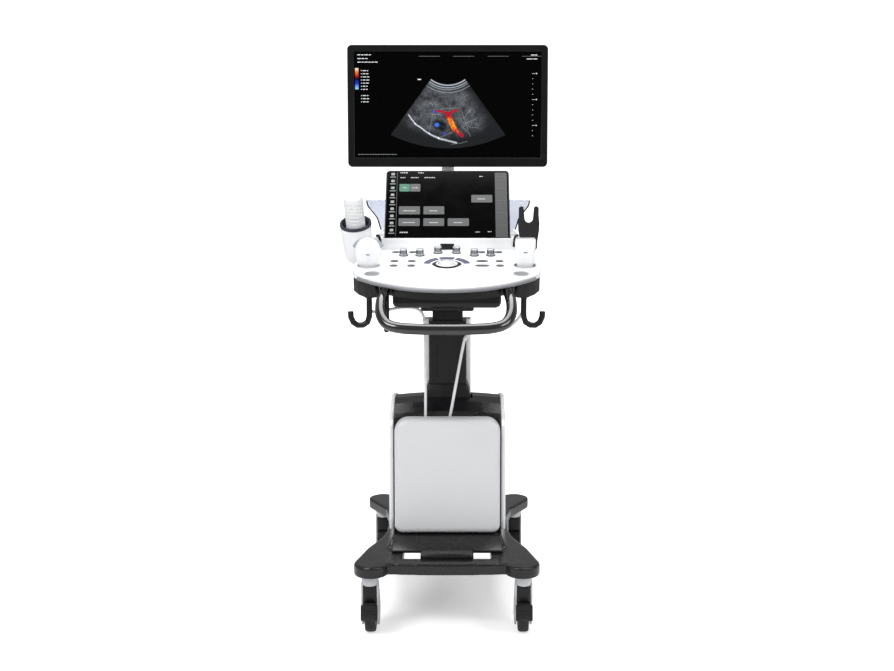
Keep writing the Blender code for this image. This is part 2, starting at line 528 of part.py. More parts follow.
def make_touch_screen():
    """The touch screen leans back on a hinge, in a grey cradle set in the console's well."""
    hinge_y, hinge_z = TOUCH_PIN
    cradle = box("touch_base", (-0.1755, -0.1232, WELL_FLOOR + FIT), (0.1755, -0.040, WELL_FLOOR + 0.003), "grey_trim")
    lip = box("cradle_lip", (-0.1755, -0.1232, WELL_FLOOR + FIT), (0.1755, -0.1207, 1.0262))
    ears = []
    for side in (-1, 1):
        ear = [(hinge_y - 0.012, WELL_FLOOR + 0.001), (hinge_y + 0.014, WELL_FLOOR + 0.001)] + arc(
            TOUCH_PIN, 0.0105, 0, 180, 6)
        ears.append(plate("cradle_ear", ear, 0.008, (side * 0.036, 0, 0), SIDE_ON))
    combine(cradle, lip, *ears, operation="UNION")

    up = Vector((0, math.sin(TOUCH_TILT), math.cos(TOUCH_TILT)))
    out = Vector((0, -math.cos(TOUCH_TILT), math.sin(TOUCH_TILT)))
    edge, pin = Vector((0, *TOUCH_EDGE)), Vector((0, *TOUCH_PIN))
    lean = (math.pi / 2 - TOUCH_TILT, 0, 0)
    centre = edge + up * TOUCH_LENGTH / 2

    def slab(name, inset, front, back, finish=None):
        """A round-cornered slab in the screen's plane, between two depths behind its front face."""
        outline = round_box((-TOUCH_HALF + inset, -TOUCH_LENGTH / 2 + inset),
                            (TOUCH_HALF - inset, TOUCH_LENGTH / 2 - inset), 0.010, 3)
        middle = centre - out * (front + back) / 2
        return plate(name, outline, back - front, middle, lean, finish)

    shell = slab("touch_shell", 0.0, 0.0, TOUCH_THICK, "black_shell")
    bevel(shell, 0.004)
    degrees = math.degrees(TOUCH_TILT)
    root = [pin + out * 0.0170 + up * 0.0085, pin + out * 0.0170 - up * 0.0085]
    outline = [(p.y, p.z) for p in root] + arc(TOUCH_PIN, 0.0085, -90 - degrees, 90 - degrees, 6)
    knuckle = plate("knuckle", outline, 0.062, rotation=SIDE_ON)
    combine(shell, knuckle, operation="UNION")
    combine(shell, slab("glass_pocket", 0.0036, -0.01, 0.0036))
    slab("touch_glass", 0.0040, 0.0006, 0.0032, "screen_glass")
    move_origin("touch_shell", pin)


def move_origin(name, point):
    """Moves an object's origin to a world point and leaves its shape where it is."""
    obj = bpy.data.objects[name]
    bpy.context.view_layer.update()
    shift = obj.matrix_world.inverted() @ Vector(point)
    for corner in obj.data.vertices:
        corner.co -= shift
    obj.location = obj.matrix_world @ shift


def make_monitor():
    """Post and arm behind the touch screen, a knuckle that swivels, and the monitor that tilts on it."""
    tilt_y, tilt_z = TILT_AXIS
    turned("monitor_post", [(0, 1.0830), (0.0200, 1.0830), (0.0230, 1.0800), (0.0230, 1.0510), (0.0280, 1.0480),
                            (0.0280, BLOCK_TOP + FIT), (0, BLOCK_TOP + FIT)], "grey_trim", (0, POST_Y, 0))
    hub = [(0, 1.1120), (0.0210, 1.1120), (0.0225, 1.1100), (0.0225, 1.0834), (0, 1.0834)]
    arm = turned("monitor_arm", hub, "grey_trim", (0, POST_Y, 0))
    mast = plate("mast", [(POST_Y - 0.0125, 1.100), (POST_Y + 0.0125, 1.100), (tilt_y + 0.0125, 1.3750),
                          (tilt_y - 0.0125, 1.3750)], 0.036, (0, 0, 0), SIDE_ON)
    bevel(mast, 0.004)
    combine(arm, mast, operation="UNION")
    knuckle = cylinder("monitor_knuckle", 0.014, 0.030, (0, tilt_y, 1.3905), finish="grey_trim")
    barrel = cylinder("tilt_barrel", 0.0120, 0.050, (0, tilt_y, tilt_z), "X")
    combine(knuckle, barrel, operation="UNION")

    outer = round_box((-MONITOR_HALF, MONITOR_LOW), (MONITOR_HALF, MONITOR_HIGH), 0.013)
    bezel = plate("monitor_bezel", outer, 0.018, (0, MONITOR_FRONT + 0.009, 0), FACE_ON, "black_shell")
    bevel(bezel, 0.003)
    window = plate("window", round_box((-SCREEN_HALF, SCREEN_LOW), (SCREEN_HALF, SCREEN_HIGH), 0.002, 1), 0.1,
                   (0, MONITOR_FRONT, 0), FACE_ON)
    combine(bezel, window)
    panel = round_box((-SCREEN_HALF + FIT, SCREEN_LOW + FIT), (SCREEN_HALF - FIT, SCREEN_HIGH - FIT), 0.002, 1)
    plate("monitor_screen", panel, 0.012, (0, MONITOR_FRONT + 0.0085, 0), FACE_ON, "screen_glass")

    back_front, back_rear = MONITOR_FRONT + 0.018 + FIT, 0.085
    shell_outline = round_box((-0.276, 1.2460), (0.276, 1.5700), 0.020)
    rear = plate("monitor_rear_cover", shell_outline, back_rear - back_front, (0, (back_front + back_rear) / 2, 0),
                 FACE_ON, "white_shell")
    bevel(rear, 0.009)
    plate_block = box("mount_plate", (-0.045, 0.080, 1.375), (0.045, 0.0905, 1.445))
    lugs = [plate("tilt_lug", [(0.084, 1.390), (tilt_y, 1.398)] + arc(TILT_AXIS, 0.012, -60, 90, 5)
                  + [(0.084, 1.430)], 0.008, (side * 0.0310, 0, 0), SIDE_ON) for side in (-1, 1)]
    combine(rear, plate_block, *lugs, operation="UNION")
    combine(rear, box("rear_hollow", (-0.263, 0.0, 1.2590), (0.263, back_rear - 0.004, 1.5570)))
    for name in ("monitor_bezel", "monitor_screen", "monitor_rear_cover"):
        move_origin(name, (0, tilt_y, tilt_z))


def oval_ring(height, across, deep, square=2.0, sides=16):
    """A section of a probe: an oval that grows squarer as square rises above 2."""
    ring = []
    for i in range(sides):
        a = 2 * math.pi * i / sides
        c, s = math.cos(a), math.sin(a)
        ring.append((across * math.copysign(abs(c) ** (2 / square), c),
                     deep * math.copysign(abs(s) ** (2 / square), s), height))
    return ring


def make_probes():
    """A convex and a linear probe, heads up in the rear holders, each ending below in its strain relief."""
    tail = [(-0.0780, 0.0135, 0.0125, 2), (-0.0820, 0.0085, 0.0085, 2), (-0.0995, 0.0058, 0.0058, 2)]
    convex = [(0.0770, 0.006, 0.004, 2), (0.0750, 0.015, 0.008, 2), (0.0700, 0.0240, 0.0115, 2),
              (0.0620, 0.0308, 0.0135, 2), (0.0520, 0.0350, 0.0147, 2), (0.0400, 0.0362, 0.0152, 2),
              (0.0280, 0.0345, 0.0152, 2), (0.0130, 0.0308, 0.0150, 2), (0.0020, 0.0272, 0.0148, 2),
              (-0.0200, 0.0205, 0.0145, 2), (-0.0450, 0.0160, 0.0135, 2)] + tail
    linear = [(0.0735, 0.0235, 0.0075, 4), (0.0720, 0.0262, 0.0095, 4), (0.0660, 0.0275, 0.0115, 4),
              (0.0450, 0.0268, 0.0122, 4), (0.0200, 0.0245, 0.0128, 4), (0.0020, 0.0225, 0.0130, 3),
              (-0.0200, 0.0180, 0.0135, 2.5), (-0.0450, 0.0155, 0.0135, 2)] + tail
    for name, side, sections in (("probe_convex", -1, convex), ("probe_linear", 1, linear)):
        rings = [oval_ring(*section) for section in sections]
        loft(name, rings, "white_shell", (side * REAR_HOLDER[0], along_panel(REAR_HOLDER[1]), 0), parent=panel_frame)


def make_cables():
    """The probes' cables: from each strain relief, under the console, and down behind the front cover."""
    ends = {side: over_panel(side * REAR_HOLDER[0], REAR_HOLDER[1], -0.0998) for side in (-1, 1)}
    left = [ends[-1], (-0.2060, -0.2385, 0.8660), (-0.2025, -0.2320, 0.8530), (-0.1880, -0.2180, 0.8480),
            (-0.1600, -0.2030, 0.8520), (-0.1250, -0.1880, 0.8560), (-0.0930, -0.1740, 0.8540),
            (-0.0720, -0.1630, 0.8420), (-0.0620, -0.1560, 0.8150), (-0.0605, -0.1520, 0.7600),
            (-0.0605, -0.1480, 0.6600), (-0.0605, -0.1475, 0.5500), (-0.0605, -0.1475, 0.5034)]
    right = [ends[1], (0.2055, -0.2380, 0.8660), (0.2013, -0.2320, 0.8500), (0.1890, -0.2240, 0.8280),
             (0.1670, -0.2130, 0.8080), (0.1350, -0.2000, 0.7995), (0.1000, -0.1900, 0.7960),
             (0.0680, -0.1800, 0.7880), (0.0500, -0.1720, 0.7700), (0.0410, -0.1640, 0.7350),
             (0.0250, -0.1530, 0.6450), (0.0090, -0.1475, 0.5560), (0.0005, -0.1475, 0.5200), (0.0, -0.1475, 0.5038)]
    for name, route in (("probe_cable_left", left), ("probe_cable_right", right)):
        tube(name, smooth_route(route, 0.020), CABLE_R, "cable_white", 2)


def make_casters():
    """Hooded swivel casters. The wheel carries its axle, which turns in the fork's cheeks."""
    for name, (x, y) in CASTERS.items():
        hub = (y + TRAIL, WHEEL_R)
        hood = (arc(hub, 0.0585, 12, 190, 12) + [(hub[0] - 0.046, 0.062)]
                + arc(hub, 0.0130, 200, 340, 4) + [(hub[0] + 0.046, 0.062)])
        fork = plate(f"caster_fork_{name}", hood, 0.035, (x, 0, 0), SIDE_ON, "black_shell")
        bevel(fork, 0.003)
        stem = cylinder("stem", 0.0225, 0.0655, (x, y, 0.1325))
        combine(fork, stem, operation="UNION")
        combine(fork, cylinder("wheel_space", 0.0530, 0.029, (x, *hub), "X", sides=32),
                cylinder("axle_hole", 0.0044, 0.1, (x, *hub), "X", sides=12))
        move_origin(f"caster_fork_{name}", (x, y, 0))
        half_wheel = [(0, 0.0235), (0.0200, 0.0225), (0.0200, 0.0180), (0.0040, 0.0180), (0.0040, 0.0140),
                      (0.0120, 0.0140), (0.0120, 0.0120), (0.0390, 0.0120), (0.0420, 0.0140), (0.0500, 0.0090)]
        profile = half_wheel + [(r, -z) for r, z in reversed(half_wheel)]
        turned(f"caster_wheel_{name}", profile, "rubber", (x, *hub), (0, math.pi / 2, 0), sides=24)
        if name.startswith("front"):
            pedal = [(-0.0610, 0.0460), (-0.0680, 0.0440), (-0.0730, 0.0120), (-0.0680, 0.0020), (-0.0625, 0.0080)]
            lever = plate(f"brake_pedal_{name}", [(hub[0] + a, hub[1] + b) for a, b in pedal], 0.044, (x, 0, 0),
                          SIDE_ON, "black_shell")
            bevel(lever, 0.002)
            move_origin(f"brake_pedal_{name}", (x, hub[0] - 0.0645, hub[1] + 0.040))


make_chassis()
make_housing()
make_front_cover()
make_column()
make_console()
make_controls()
make_handle()
make_side_brackets()
make_gel_cup()
make_storage_bin()
make_cable_fork()
make_touch_screen()
make_monitor()
make_probes()
make_cables()
make_casters()

for obj in bpy.data.objects:
    if not obj.parent:
        obj.location.y += CENTRE_Y
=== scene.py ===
import json
import math
import random

import bmesh
import bpy
from mathutils import Matrix, Vector


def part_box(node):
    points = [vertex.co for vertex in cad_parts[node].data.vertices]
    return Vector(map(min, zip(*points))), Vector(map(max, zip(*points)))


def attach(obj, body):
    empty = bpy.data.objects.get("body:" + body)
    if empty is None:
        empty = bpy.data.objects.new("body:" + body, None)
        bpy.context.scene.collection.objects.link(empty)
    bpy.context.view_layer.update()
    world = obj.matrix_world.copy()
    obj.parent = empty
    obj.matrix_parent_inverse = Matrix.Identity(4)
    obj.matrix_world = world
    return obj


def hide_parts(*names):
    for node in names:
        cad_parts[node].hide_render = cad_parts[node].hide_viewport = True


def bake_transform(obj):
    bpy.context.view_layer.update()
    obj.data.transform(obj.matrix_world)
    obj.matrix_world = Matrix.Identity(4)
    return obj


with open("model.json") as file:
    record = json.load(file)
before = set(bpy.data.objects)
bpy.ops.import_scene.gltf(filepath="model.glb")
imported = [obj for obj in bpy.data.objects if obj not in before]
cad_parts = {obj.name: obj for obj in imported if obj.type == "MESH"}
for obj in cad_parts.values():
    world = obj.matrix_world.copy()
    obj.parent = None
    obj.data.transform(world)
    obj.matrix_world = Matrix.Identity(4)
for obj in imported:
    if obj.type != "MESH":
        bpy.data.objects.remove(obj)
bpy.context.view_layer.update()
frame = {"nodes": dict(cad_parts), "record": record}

record = frame["record"]
joints = {joint["name"]: joint for joint in record["behaviour"]["joints"]}
random.seed(7)


def clearSelection():
    for picked in list(bpy.context.selected_objects):
        picked.select_set(False)


def pick(obj):
    clearSelection()
    obj.select_set(True)
    bpy.context.view_layer.objects.active = obj


def settle(obj):  # bakes place, turn and scale into the mesh
    pick(obj)
    bpy.ops.object.transform_apply(location=True, rotation=True, scale=True)
    return obj


def modify(obj, kind, **settings):
    pick(obj)
    added = obj.modifiers.new(kind.title(), kind)
    for key, value in settings.items():
        setattr(added, key, value)
    bpy.ops.object.modifier_apply(modifier=added.name)
    return obj


def soften(obj, width, segments=3, degrees=30):  # rounds every edge sharper than the angle
    return modify(obj, "BEVEL", width=width, segments=segments, limit_method="ANGLE",
                  angle_limit=math.radians(degrees))


def smooth(obj, degrees=35):
    pick(obj)
    bpy.ops.object.shade_smooth_by_angle(angle=math.radians(degrees))
    return obj


def block(name, low, high, edge=0.0, rounds=3):  # a box with rounded edges
    low, high = Vector(low), Vector(high)
    bpy.ops.mesh.primitive_cube_add(size=1, location=(low + high) / 2)
    obj = bpy.context.object
    obj.name = name
    obj.scale = high - low
    settle(obj)
    if edge:
        soften(obj, edge, rounds)
        smooth(obj)
    return obj


def drum(name, radius, depth, centre, axis=(0, 0, 1), edge=0.0, sides=48, tip=None):  # a cylinder or cone
    bpy.ops.mesh.primitive_cone_add(vertices=sides, radius1=radius, radius2=radius if tip is None else tip,
                                    depth=depth, location=centre)
    obj = bpy.context.object
    obj.name = name
    obj.rotation_euler = Vector(axis).to_track_quat("Z", "Y").to_euler()
    settle(obj)
    if edge:
        soften(obj, edge, 3, 50)
    return smooth(obj)


def hoop(name, radius, thick, centre, axis=(0, 0, 1), flat=1.0):  # a ring of round section
    bpy.ops.mesh.primitive_torus_add(major_radius=radius, minor_radius=thick, major_segments=64,
                                     minor_segments=12)
    obj = bpy.context.object
    obj.name = name
    obj.scale = (1, 1, flat)
    settle(obj)
    obj.location = centre
    obj.rotation_euler = Vector(axis).to_track_quat("Z", "Y").to_euler()
    settle(obj)
    return smooth(obj, 60)


def mirrored(half):  # a full outline from its upper half
    return half + [(radius, -height) for radius, height in reversed(half) if height]


def lathe(name, profile, centre, axis=(0, 0, 1), steps=64):  # spins radius and height pairs about the axis
    bpy.ops.mesh.primitive_plane_add(size=0.01)
    obj = bpy.context.object
    obj.name = name
    bpy.ops.object.mode_set(mode="EDIT")
    bpy.ops.mesh.delete(type="VERT")
    bpy.ops.object.mode_set(mode="OBJECT")
    obj.data.from_pydata([(radius, 0, height) for radius, height in profile],
                         [(i, i + 1) for i in range(len(profile) - 1)], [])
    bpy.ops.object.mode_set(mode="EDIT")
    bpy.ops.mesh.select_all(action="SELECT")
    bpy.ops.mesh.spin(steps=steps, angle=math.tau, center=(0, 0, 0), axis=(0, 0, 1))
    bpy.ops.mesh.select_all(action="SELECT")
    bpy.ops.mesh.remove_doubles(threshold=0.00002)
    bpy.ops.mesh.normals_make_consistent(inside=False)
    bpy.ops.object.mode_set(mode="OBJECT")
    obj.location = centre
    obj.rotation_euler = Vector(axis).to_track_quat("Z", "Y").to_euler()
    settle(obj)
    return smooth(obj)


def flow(points, step=0.004):  # evenly spaced points on a smooth curve through the given ones
    ends = [Vector(point) for point in points]
    ends = [2 * ends[0] - ends[1]] + ends + [2 * ends[-1] - ends[-2]]
    line = []
    for a, b, c, d in zip(ends, ends[1:], ends[2:], ends[3:]):
        pieces = max(1, round((c - b).length / step))
        for i in range(pieces):
            t = i / pieces
            line.append(0.5 * (2 * b + (c - a) * t + (2 * a - 5 * b + 4 * c - d) * t ** 2
                               + (3 * b - a - 3 * c + d) * t ** 3))
    return line + [Vector(points[-1])]


def pipe(name, line, radius, rounds=6):  # a round tube along points
    curve = bpy.data.curves.new(name, "CURVE")
    curve.dimensions, curve.bevel_depth, curve.bevel_resolution = "3D", radius, rounds
    curve.use_fill_caps = True
    spline = curve.splines.new("POLY")
    spline.points.add(len(line) - 1)
    for point, place in zip(spline.points, line):
        point.co = (*place, 1)
    obj = bpy.data.objects.new(name, curve)
    bpy.context.scene.collection.objects.link(obj)
    pick(obj)
    bpy.ops.object.convert(target="MESH")
    mergeClose(obj)
    return smooth(bpy.context.object, 60)


def mergeClose(obj, distance=0.00002):
    pick(obj)
    bpy.ops.object.mode_set(mode="EDIT")
    bpy.ops.mesh.select_all(action="SELECT")
    bpy.ops.mesh.remove_doubles(threshold=distance)
    bpy.ops.mesh.normals_make_consistent(inside=False)
    bpy.ops.object.mode_set(mode="OBJECT")
    return obj


def joinAll(name, objs):
    clearSelection()
    for obj in objs:
        obj.select_set(True)
    bpy.context.view_layer.objects.active = objs[0]
    bpy.ops.object.join()
    joined = bpy.context.object
    joined.name = name
    return joined


def twin(obj, name, matrix):  # a copy with its own mesh, moved by matrix
    copy = obj.copy()
    copy.data = obj.data.copy()
    copy.name = name
    bpy.context.scene.collection.objects.link(copy)
    copy.matrix_world = matrix @ obj.matrix_world
    if matrix.determinant() < 0:
        settle(copy)
        return mergeClose(copy)
    return settle(copy)


def sculpted(name, node, voxel, passes=6, cutters=()):  # a softened copy of a CAD node, its hard edges rounded
    source = frame["nodes"][node]
    copy = bpy.data.objects.new(name, source.data.copy())
    copy.matrix_world = source.matrix_world.copy()
    bpy.context.scene.collection.objects.link(copy)
    copy.data.materials.clear()
    mergeClose(copy, 0.00001)
    for cutter in cutters:
        cut(copy, cutter)
    modify(copy, "REMESH", mode="VOXEL", voxel_size=voxel, use_smooth_shade=True)
    modify(copy, "SMOOTH", factor=0.5, iterations=passes)
    return copy


def faces(obj, test):  # selects the faces whose centre and normal pass the test, in edit mode
    pick(obj)
    bpy.ops.object.mode_set(mode="EDIT")
    bpy.ops.mesh.select_mode(type="FACE")
    bpy.ops.mesh.select_all(action="DESELECT")
    edited = bmesh.from_edit_mesh(obj.data)
    for face in edited.faces:
        face.select_set(test(face.calc_center_median(), face.normal))
    bmesh.update_edit_mesh(obj.data)


def edges(obj, test):  # the same for edges, by their two ends
    pick(obj)
    bpy.ops.object.mode_set(mode="EDIT")
    bpy.ops.mesh.select_mode(type="EDGE")
    bpy.ops.mesh.select_all(action="DESELECT")
    edited = bmesh.from_edit_mesh(obj.data)
    for edge in edited.edges:
        edge.select_set(test(edge.verts[0].co, edge.verts[1].co))
    bmesh.update_edit_mesh(obj.data)


def roundEdges(obj, test, offset, segments, profile=0.5):  # rounds the edges that pass the test
    edges(obj, test)
    bpy.ops.mesh.bevel(offset=offset, segments=segments, profile=profile, affect="EDGES")
    bpy.ops.object.mode_set(mode="OBJECT")


def cut(obj, cutter):
    modify(obj, "BOOLEAN", operation="DIFFERENCE", object=cutter, solver="EXACT")
    bpy.data.objects.remove(cutter)
    return smooth(obj)


def add(obj, body, slotName, finish, *replaced):  # puts a finished piece on its body, in its finish
    obj.data.materials.clear()
    obj.data.materials.append(finish)
    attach(obj, body)
    if replaced:
        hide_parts(*replaced)
    return obj


def newFinish(name):
    finish = bpy.data.materials.new(name)
    finish.use_nodes = True
    tree = finish.node_tree
    return finish, tree, tree.nodes["Principled BSDF"]


def place(tree):  # object coordinates through a mapping
    coords = tree.nodes.new("ShaderNodeTexCoord")
    mapping = tree.nodes.new("ShaderNodeMapping")
    tree.links.new(coords.outputs["Object"], mapping.inputs["Vector"])
    return mapping.outputs["Vector"]


def noise(tree, vector, scale, detail=4.0, rough=0.55):
    texture = tree.nodes.new("ShaderNodeTexNoise")
    texture.inputs["Scale"].default_value = scale
    texture.inputs["Detail"].default_value = detail
    texture.inputs["Roughness"].default_value = rough
    tree.links.new(vector, texture.inputs["Vector"])
    return texture.outputs["Fac"]


def spread(tree, value, low, high, start=0.3, stop=0.7):  # stretches a noise to a range
    ranged = tree.nodes.new("ShaderNodeMapRange")
    ranged.inputs["From Min"].default_value = start
    ranged.inputs["From Max"].default_value = stop
    ranged.inputs["To Min"].default_value = low
    ranged.inputs["To Max"].default_value = high
    tree.links.new(value, ranged.inputs["Value"])
    return ranged.outputs["Result"]


def calc(tree, operation, first, second=0.0, third=0.0):
    node = tree.nodes.new("ShaderNodeMath")
    node.operation = operation
    for socket, value in zip(node.inputs, (first, second, third)):
        if isinstance(value, bpy.types.NodeSocket):
            tree.links.new(value, socket)
        else:
            socket.default_value = value
    return node.outputs[0]


def times(tree, first, second):
    return calc(tree, "MULTIPLY", first, second)


def plus(tree, first, second):
    return calc(tree, "ADD", first, second)


def minus(tree, first, second):
    return calc(tree, "SUBTRACT", first, second)


def distance(tree, x, y):
    return calc(tree, "SQRT", plus(tree, times(tree, x, x), times(tree, y, y)))


def bumpFrom(tree, shader, height, strength, distance):
    bump = tree.nodes.new("ShaderNodeBump")
    bump.inputs["Strength"].default_value = strength
    bump.inputs["Distance"].default_value = distance
    tree.links.new(height, bump.inputs["Height"])
    tree.links.new(bump.outputs["Normal"], shader.inputs["Normal"])


def mixColour(tree, factor, first, second):
    mix = tree.nodes.new("ShaderNodeMix")
    mix.data_type = "RGBA"
    for socket, value in zip((mix.inputs["Factor"], mix.inputs[6], mix.inputs[7]), (factor, first, second)):
        if isinstance(value, bpy.types.NodeSocket):
            tree.links.new(value, socket)
        else:
            socket.default_value = (*value, 1)
    return mix.outputs[2]


def moulded(name, light, dark, rough=(0.30, 0.42), grain=900.0, relief=0.00006, coat=0.0, metallic=0.0,
            specular=0.5):
    # a moulded or painted surface: slow change of tone, uneven gloss and a fine grain
    finish, tree, shader = newFinish(name)
    vector = place(tree)
    broad = noise(tree, vector, 7.0, 3.0)
    fine = noise(tree, vector, grain, 3.0)
    tone = mixColour(tree, spread(tree, broad, 0.0, 1.0), light, dark)
    tree.links.new(tone, shader.inputs["Base Color"])
    smudge = noise(tree, vector, 22.0, 5.0, 0.65)
    tree.links.new(spread(tree, smudge, *rough), shader.inputs["Roughness"])
    bumpFrom(tree, shader, fine, 0.35, relief)
    shader.inputs["Metallic"].default_value = metallic
    shader.inputs["Coat Weight"].default_value = coat
    shader.inputs["Coat Roughness"].default_value = 0.12
    shader.inputs["Specular IOR Level"].default_value = specular
    return finish


def glowing(name, colour, strength):
    finish, tree, shader = newFinish(name)
    shader.inputs["Base Color"].default_value = (*[c * 0.3 for c in colour], 1)
    shader.inputs["Roughness"].default_value = 0.35
    flicker = noise(tree, place(tree), 400.0, 2.0)
    tone = mixColour(tree, spread(tree, flicker, 0.0, 1.0), [c * 0.85 for c in colour], colour)
    tree.links.new(tone, shader.inputs["Emission Color"])
    shader.inputs["Emission Strength"].default_value = strength
    return finish


finishes = {
    "white": moulded("white_moulding", (0.80, 0.81, 0.82), (0.76, 0.77, 0.785), (0.28, 0.38), coat=0.15),
    "whiteSatin": moulded("white_satin", (0.74, 0.75, 0.77), (0.70, 0.71, 0.73), (0.36, 0.48)),
    "paleGrey": moulded("pale_grey_moulding", (0.52, 0.53, 0.55), (0.47, 0.48, 0.50), (0.32, 0.45)),
    "bezel": moulded("bezel_moulding", (0.0042, 0.0043, 0.0048), (0.0028, 0.0028, 0.0032), (0.22, 0.32), grain=1500.0,
                     relief=0.00006, specular=0.22),
    # front cover finish: the shells' white plastic made darker, as painted shade on the cover
    "door": moulded("door_painted_shade_moulding", (0.60, 0.605, 0.615), (0.585, 0.59, 0.60), (0.36, 0.38), relief=0.00001),
    "grey": moulded("mid_grey_moulding", (0.20, 0.205, 0.215), (0.165, 0.17, 0.18), (0.34, 0.46)),
    "silver": moulded("silver_paint", (0.56, 0.57, 0.59), (0.50, 0.51, 0.53), (0.26, 0.38), metallic=0.7,
                      grain=2200.0),
    "black": moulded("black_moulding", (0.0062, 0.0064, 0.0070), (0.0040, 0.0040, 0.0046), (0.32, 0.46), grain=1500.0,
                     relief=0.00012, specular=0.32),
    "charcoal": moulded("charcoal_moulding", (0.011, 0.0115, 0.0125), (0.007, 0.007, 0.008), (0.24, 0.36),
                        grain=1300.0, relief=0.0001, coat=0.1, specular=0.38),
    "casting": moulded("black_casting", (0.0068, 0.0070, 0.0078), (0.0044, 0.0045, 0.0050), (0.22, 0.34), grain=700.0,
                       relief=0.00016, coat=0.15, specular=0.34),
    "glossBlack": moulded("gloss_black", (0.0060, 0.0060, 0.0068), (0.0040, 0.0040, 0.0048), (0.12, 0.20), coat=0.6,
                          specular=0.45),
    "rubber": moulded("soft_rubber", (0.009, 0.009, 0.010), (0.013, 0.013, 0.014), (0.60, 0.78), grain=1800.0,
                      relief=0.0002, specular=0.3),
    "tread": moulded("wheel_tread", (0.018, 0.0185, 0.0200), (0.012, 0.0124, 0.0136), (0.45, 0.60), grain=600.0,
                     relief=0.0003, specular=0.35),
    "navy": moulded("navy_rubber", (0.008, 0.008, 0.022), (0.012, 0.012, 0.030), (0.40, 0.55)),
    "keyTop": moulded("key_silicone", (0.085, 0.088, 0.105), (0.065, 0.068, 0.085), (0.40, 0.52), grain=1600.0),
    "arcTop": moulded("arc_key_silicone", (0.085, 0.088, 0.15), (0.065, 0.068, 0.125), (0.36, 0.48), grain=1600.0),
    "lens": moulded("lens_rubber", (0.33, 0.35, 0.37), (0.29, 0.31, 0.33), (0.30, 0.42)),
    "steel": moulded("bright_steel", (0.62, 0.63, 0.65), (0.54, 0.55, 0.57), (0.18, 0.30), metallic=1.0,
                     grain=2600.0),
    "cable": moulded("cable_jacket", (0.70, 0.70, 0.70), (0.62, 0.62, 0.63), (0.42, 0.55), grain=1200.0),
}


def clearBlue():  # the bin's tinted clear plastic
    finish, tree, shader = newFinish("clear_blue")
    vector = place(tree)
    tone = mixColour(tree, spread(tree, noise(tree, vector, 6.0), 0, 1), (0.70, 0.75, 0.88), (0.78, 0.82, 0.92))
    tree.links.new(tone, shader.inputs["Base Color"])
    tree.links.new(spread(tree, noise(tree, vector, 30.0), 0.12, 0.26), shader.inputs["Roughness"])
    shader.inputs["Alpha"].default_value = 0.42
    shader.inputs["Coat Weight"].default_value = 0.3
    return finish


def darkGlass():
    finish, tree, shader = newFinish("dark_glass")
    vector = place(tree)
    shader.inputs["Base Color"].default_value = (0.0010, 0.0010, 0.0012, 1)
    tree.links.new(spread(tree, noise(tree, vector, 18.0, 5.0, 0.7), 0.07, 0.16), shader.inputs["Roughness"])
    shader.inputs["Specular IOR Level"].default_value = 0.06
    return finish


finishes["clearBlue"] = clearBlue()
finishes["glass"] = darkGlass()
print("finishes ready", len(finishes))


view = {"place": (0.03, -3.14, 1.239), "pitch": 84.2, "lens": 45.55, "shiftX": -0.0125, "shiftY": -0.0615}


studio = {  # world strengths for light and for sight, and each lamp's place, aim, size and power
    "worldLight": 0.38, "worldSeen": 1.3,
    "lamps": {
        "key": ((-2.2, -2.6, 3.0), (0, 0, 0.9), 1.6, 95),
        "fill": ((2.6, -2.2, 2.2), (0, 0, 0.8), 1.6, 50),
        "top": ((0, 0.2, 3.6), (0, 0, 0.5), 2.4, 110),
    },
}


def makeStage():
    camera = bpy.data.cameras.new("camera")
    camera.lens, camera.sensor_width = view["lens"], 36
    camera.shift_x, camera.shift_y = view["shiftX"], view["shiftY"]
    camera.dof.use_dof = False
    holder = bpy.data.objects.new("camera", camera)
    holder.location, holder.rotation_euler = view["place"], (math.radians(view["pitch"]), 0, 0)
    bpy.context.scene.collection.objects.link(holder)
    bpy.context.scene.camera = holder

    bpy.ops.mesh.primitive_plane_add(size=1, location=(0, 0, 0))
    floor = bpy.context.object
    floor.name = "studio_floor"
    floor.scale = (60, 60, 1)
    settle(floor)
    finish, tree, shader = newFinish("studio_paper")
    speckle = noise(tree, place(tree), 3.0)
    tree.links.new(spread(tree, speckle, 0.85, 0.95), shader.inputs["Roughness"])
    shader.inputs["Base Color"].default_value = (0.86, 0.86, 0.865, 1)
    shader.inputs["Specular IOR Level"].default_value = 0.1
    split = tree.nodes.new("ShaderNodeSeparateXYZ")  # away from the machine the paper lights itself
    tree.links.new(place(tree), split.inputs["Vector"])
    x, y = split.outputs["X"], minus(tree, split.outputs["Y"], 0.1)
    away = distance(tree, x, y)
    glow = spread(tree, away, 0.35, 1.3, 0.15, 1.5)
    sight = tree.nodes.new("ShaderNodeLightPath")
    glow = times(tree, glow, sight.outputs["Is Camera Ray"])
    shader.inputs["Emission Color"].default_value = (1, 1, 1, 1)
    tree.links.new(glow, shader.inputs["Emission Strength"])
    floor.data.materials.append(finish)

    world = bpy.data.worlds.new("studio")
    world.use_nodes = True
    background = world.node_tree.nodes["Background"]
    background.inputs["Color"].default_value = (1, 1, 1, 1)
    sight = world.node_tree.nodes.new("ShaderNodeLightPath")
    level = world.node_tree.nodes.new("ShaderNodeMix")
    level.inputs[2].default_value, level.inputs[3].default_value = studio["worldLight"], studio["worldSeen"]
    world.node_tree.links.new(sight.outputs["Is Camera Ray"], level.inputs["Factor"])
    world.node_tree.links.new(level.outputs[0], background.inputs["Strength"])
    bpy.context.scene.world = world
    bpy.context.scene.view_settings.view_transform = "Standard"
    for name, (spot, aim, size, power) in studio["lamps"].items():
        lamp = bpy.data.lights.new(name, "AREA")
        lamp.size, lamp.energy = size, power
        obj = bpy.data.objects.new(name, lamp)
        obj.location = spot
        obj.rotation_euler = (Vector(aim) - Vector(spot)).to_track_quat("-Z", "Y").to_euler()
        bpy.context.scene.collection.objects.link(obj)


makeStage()
print("stage set")


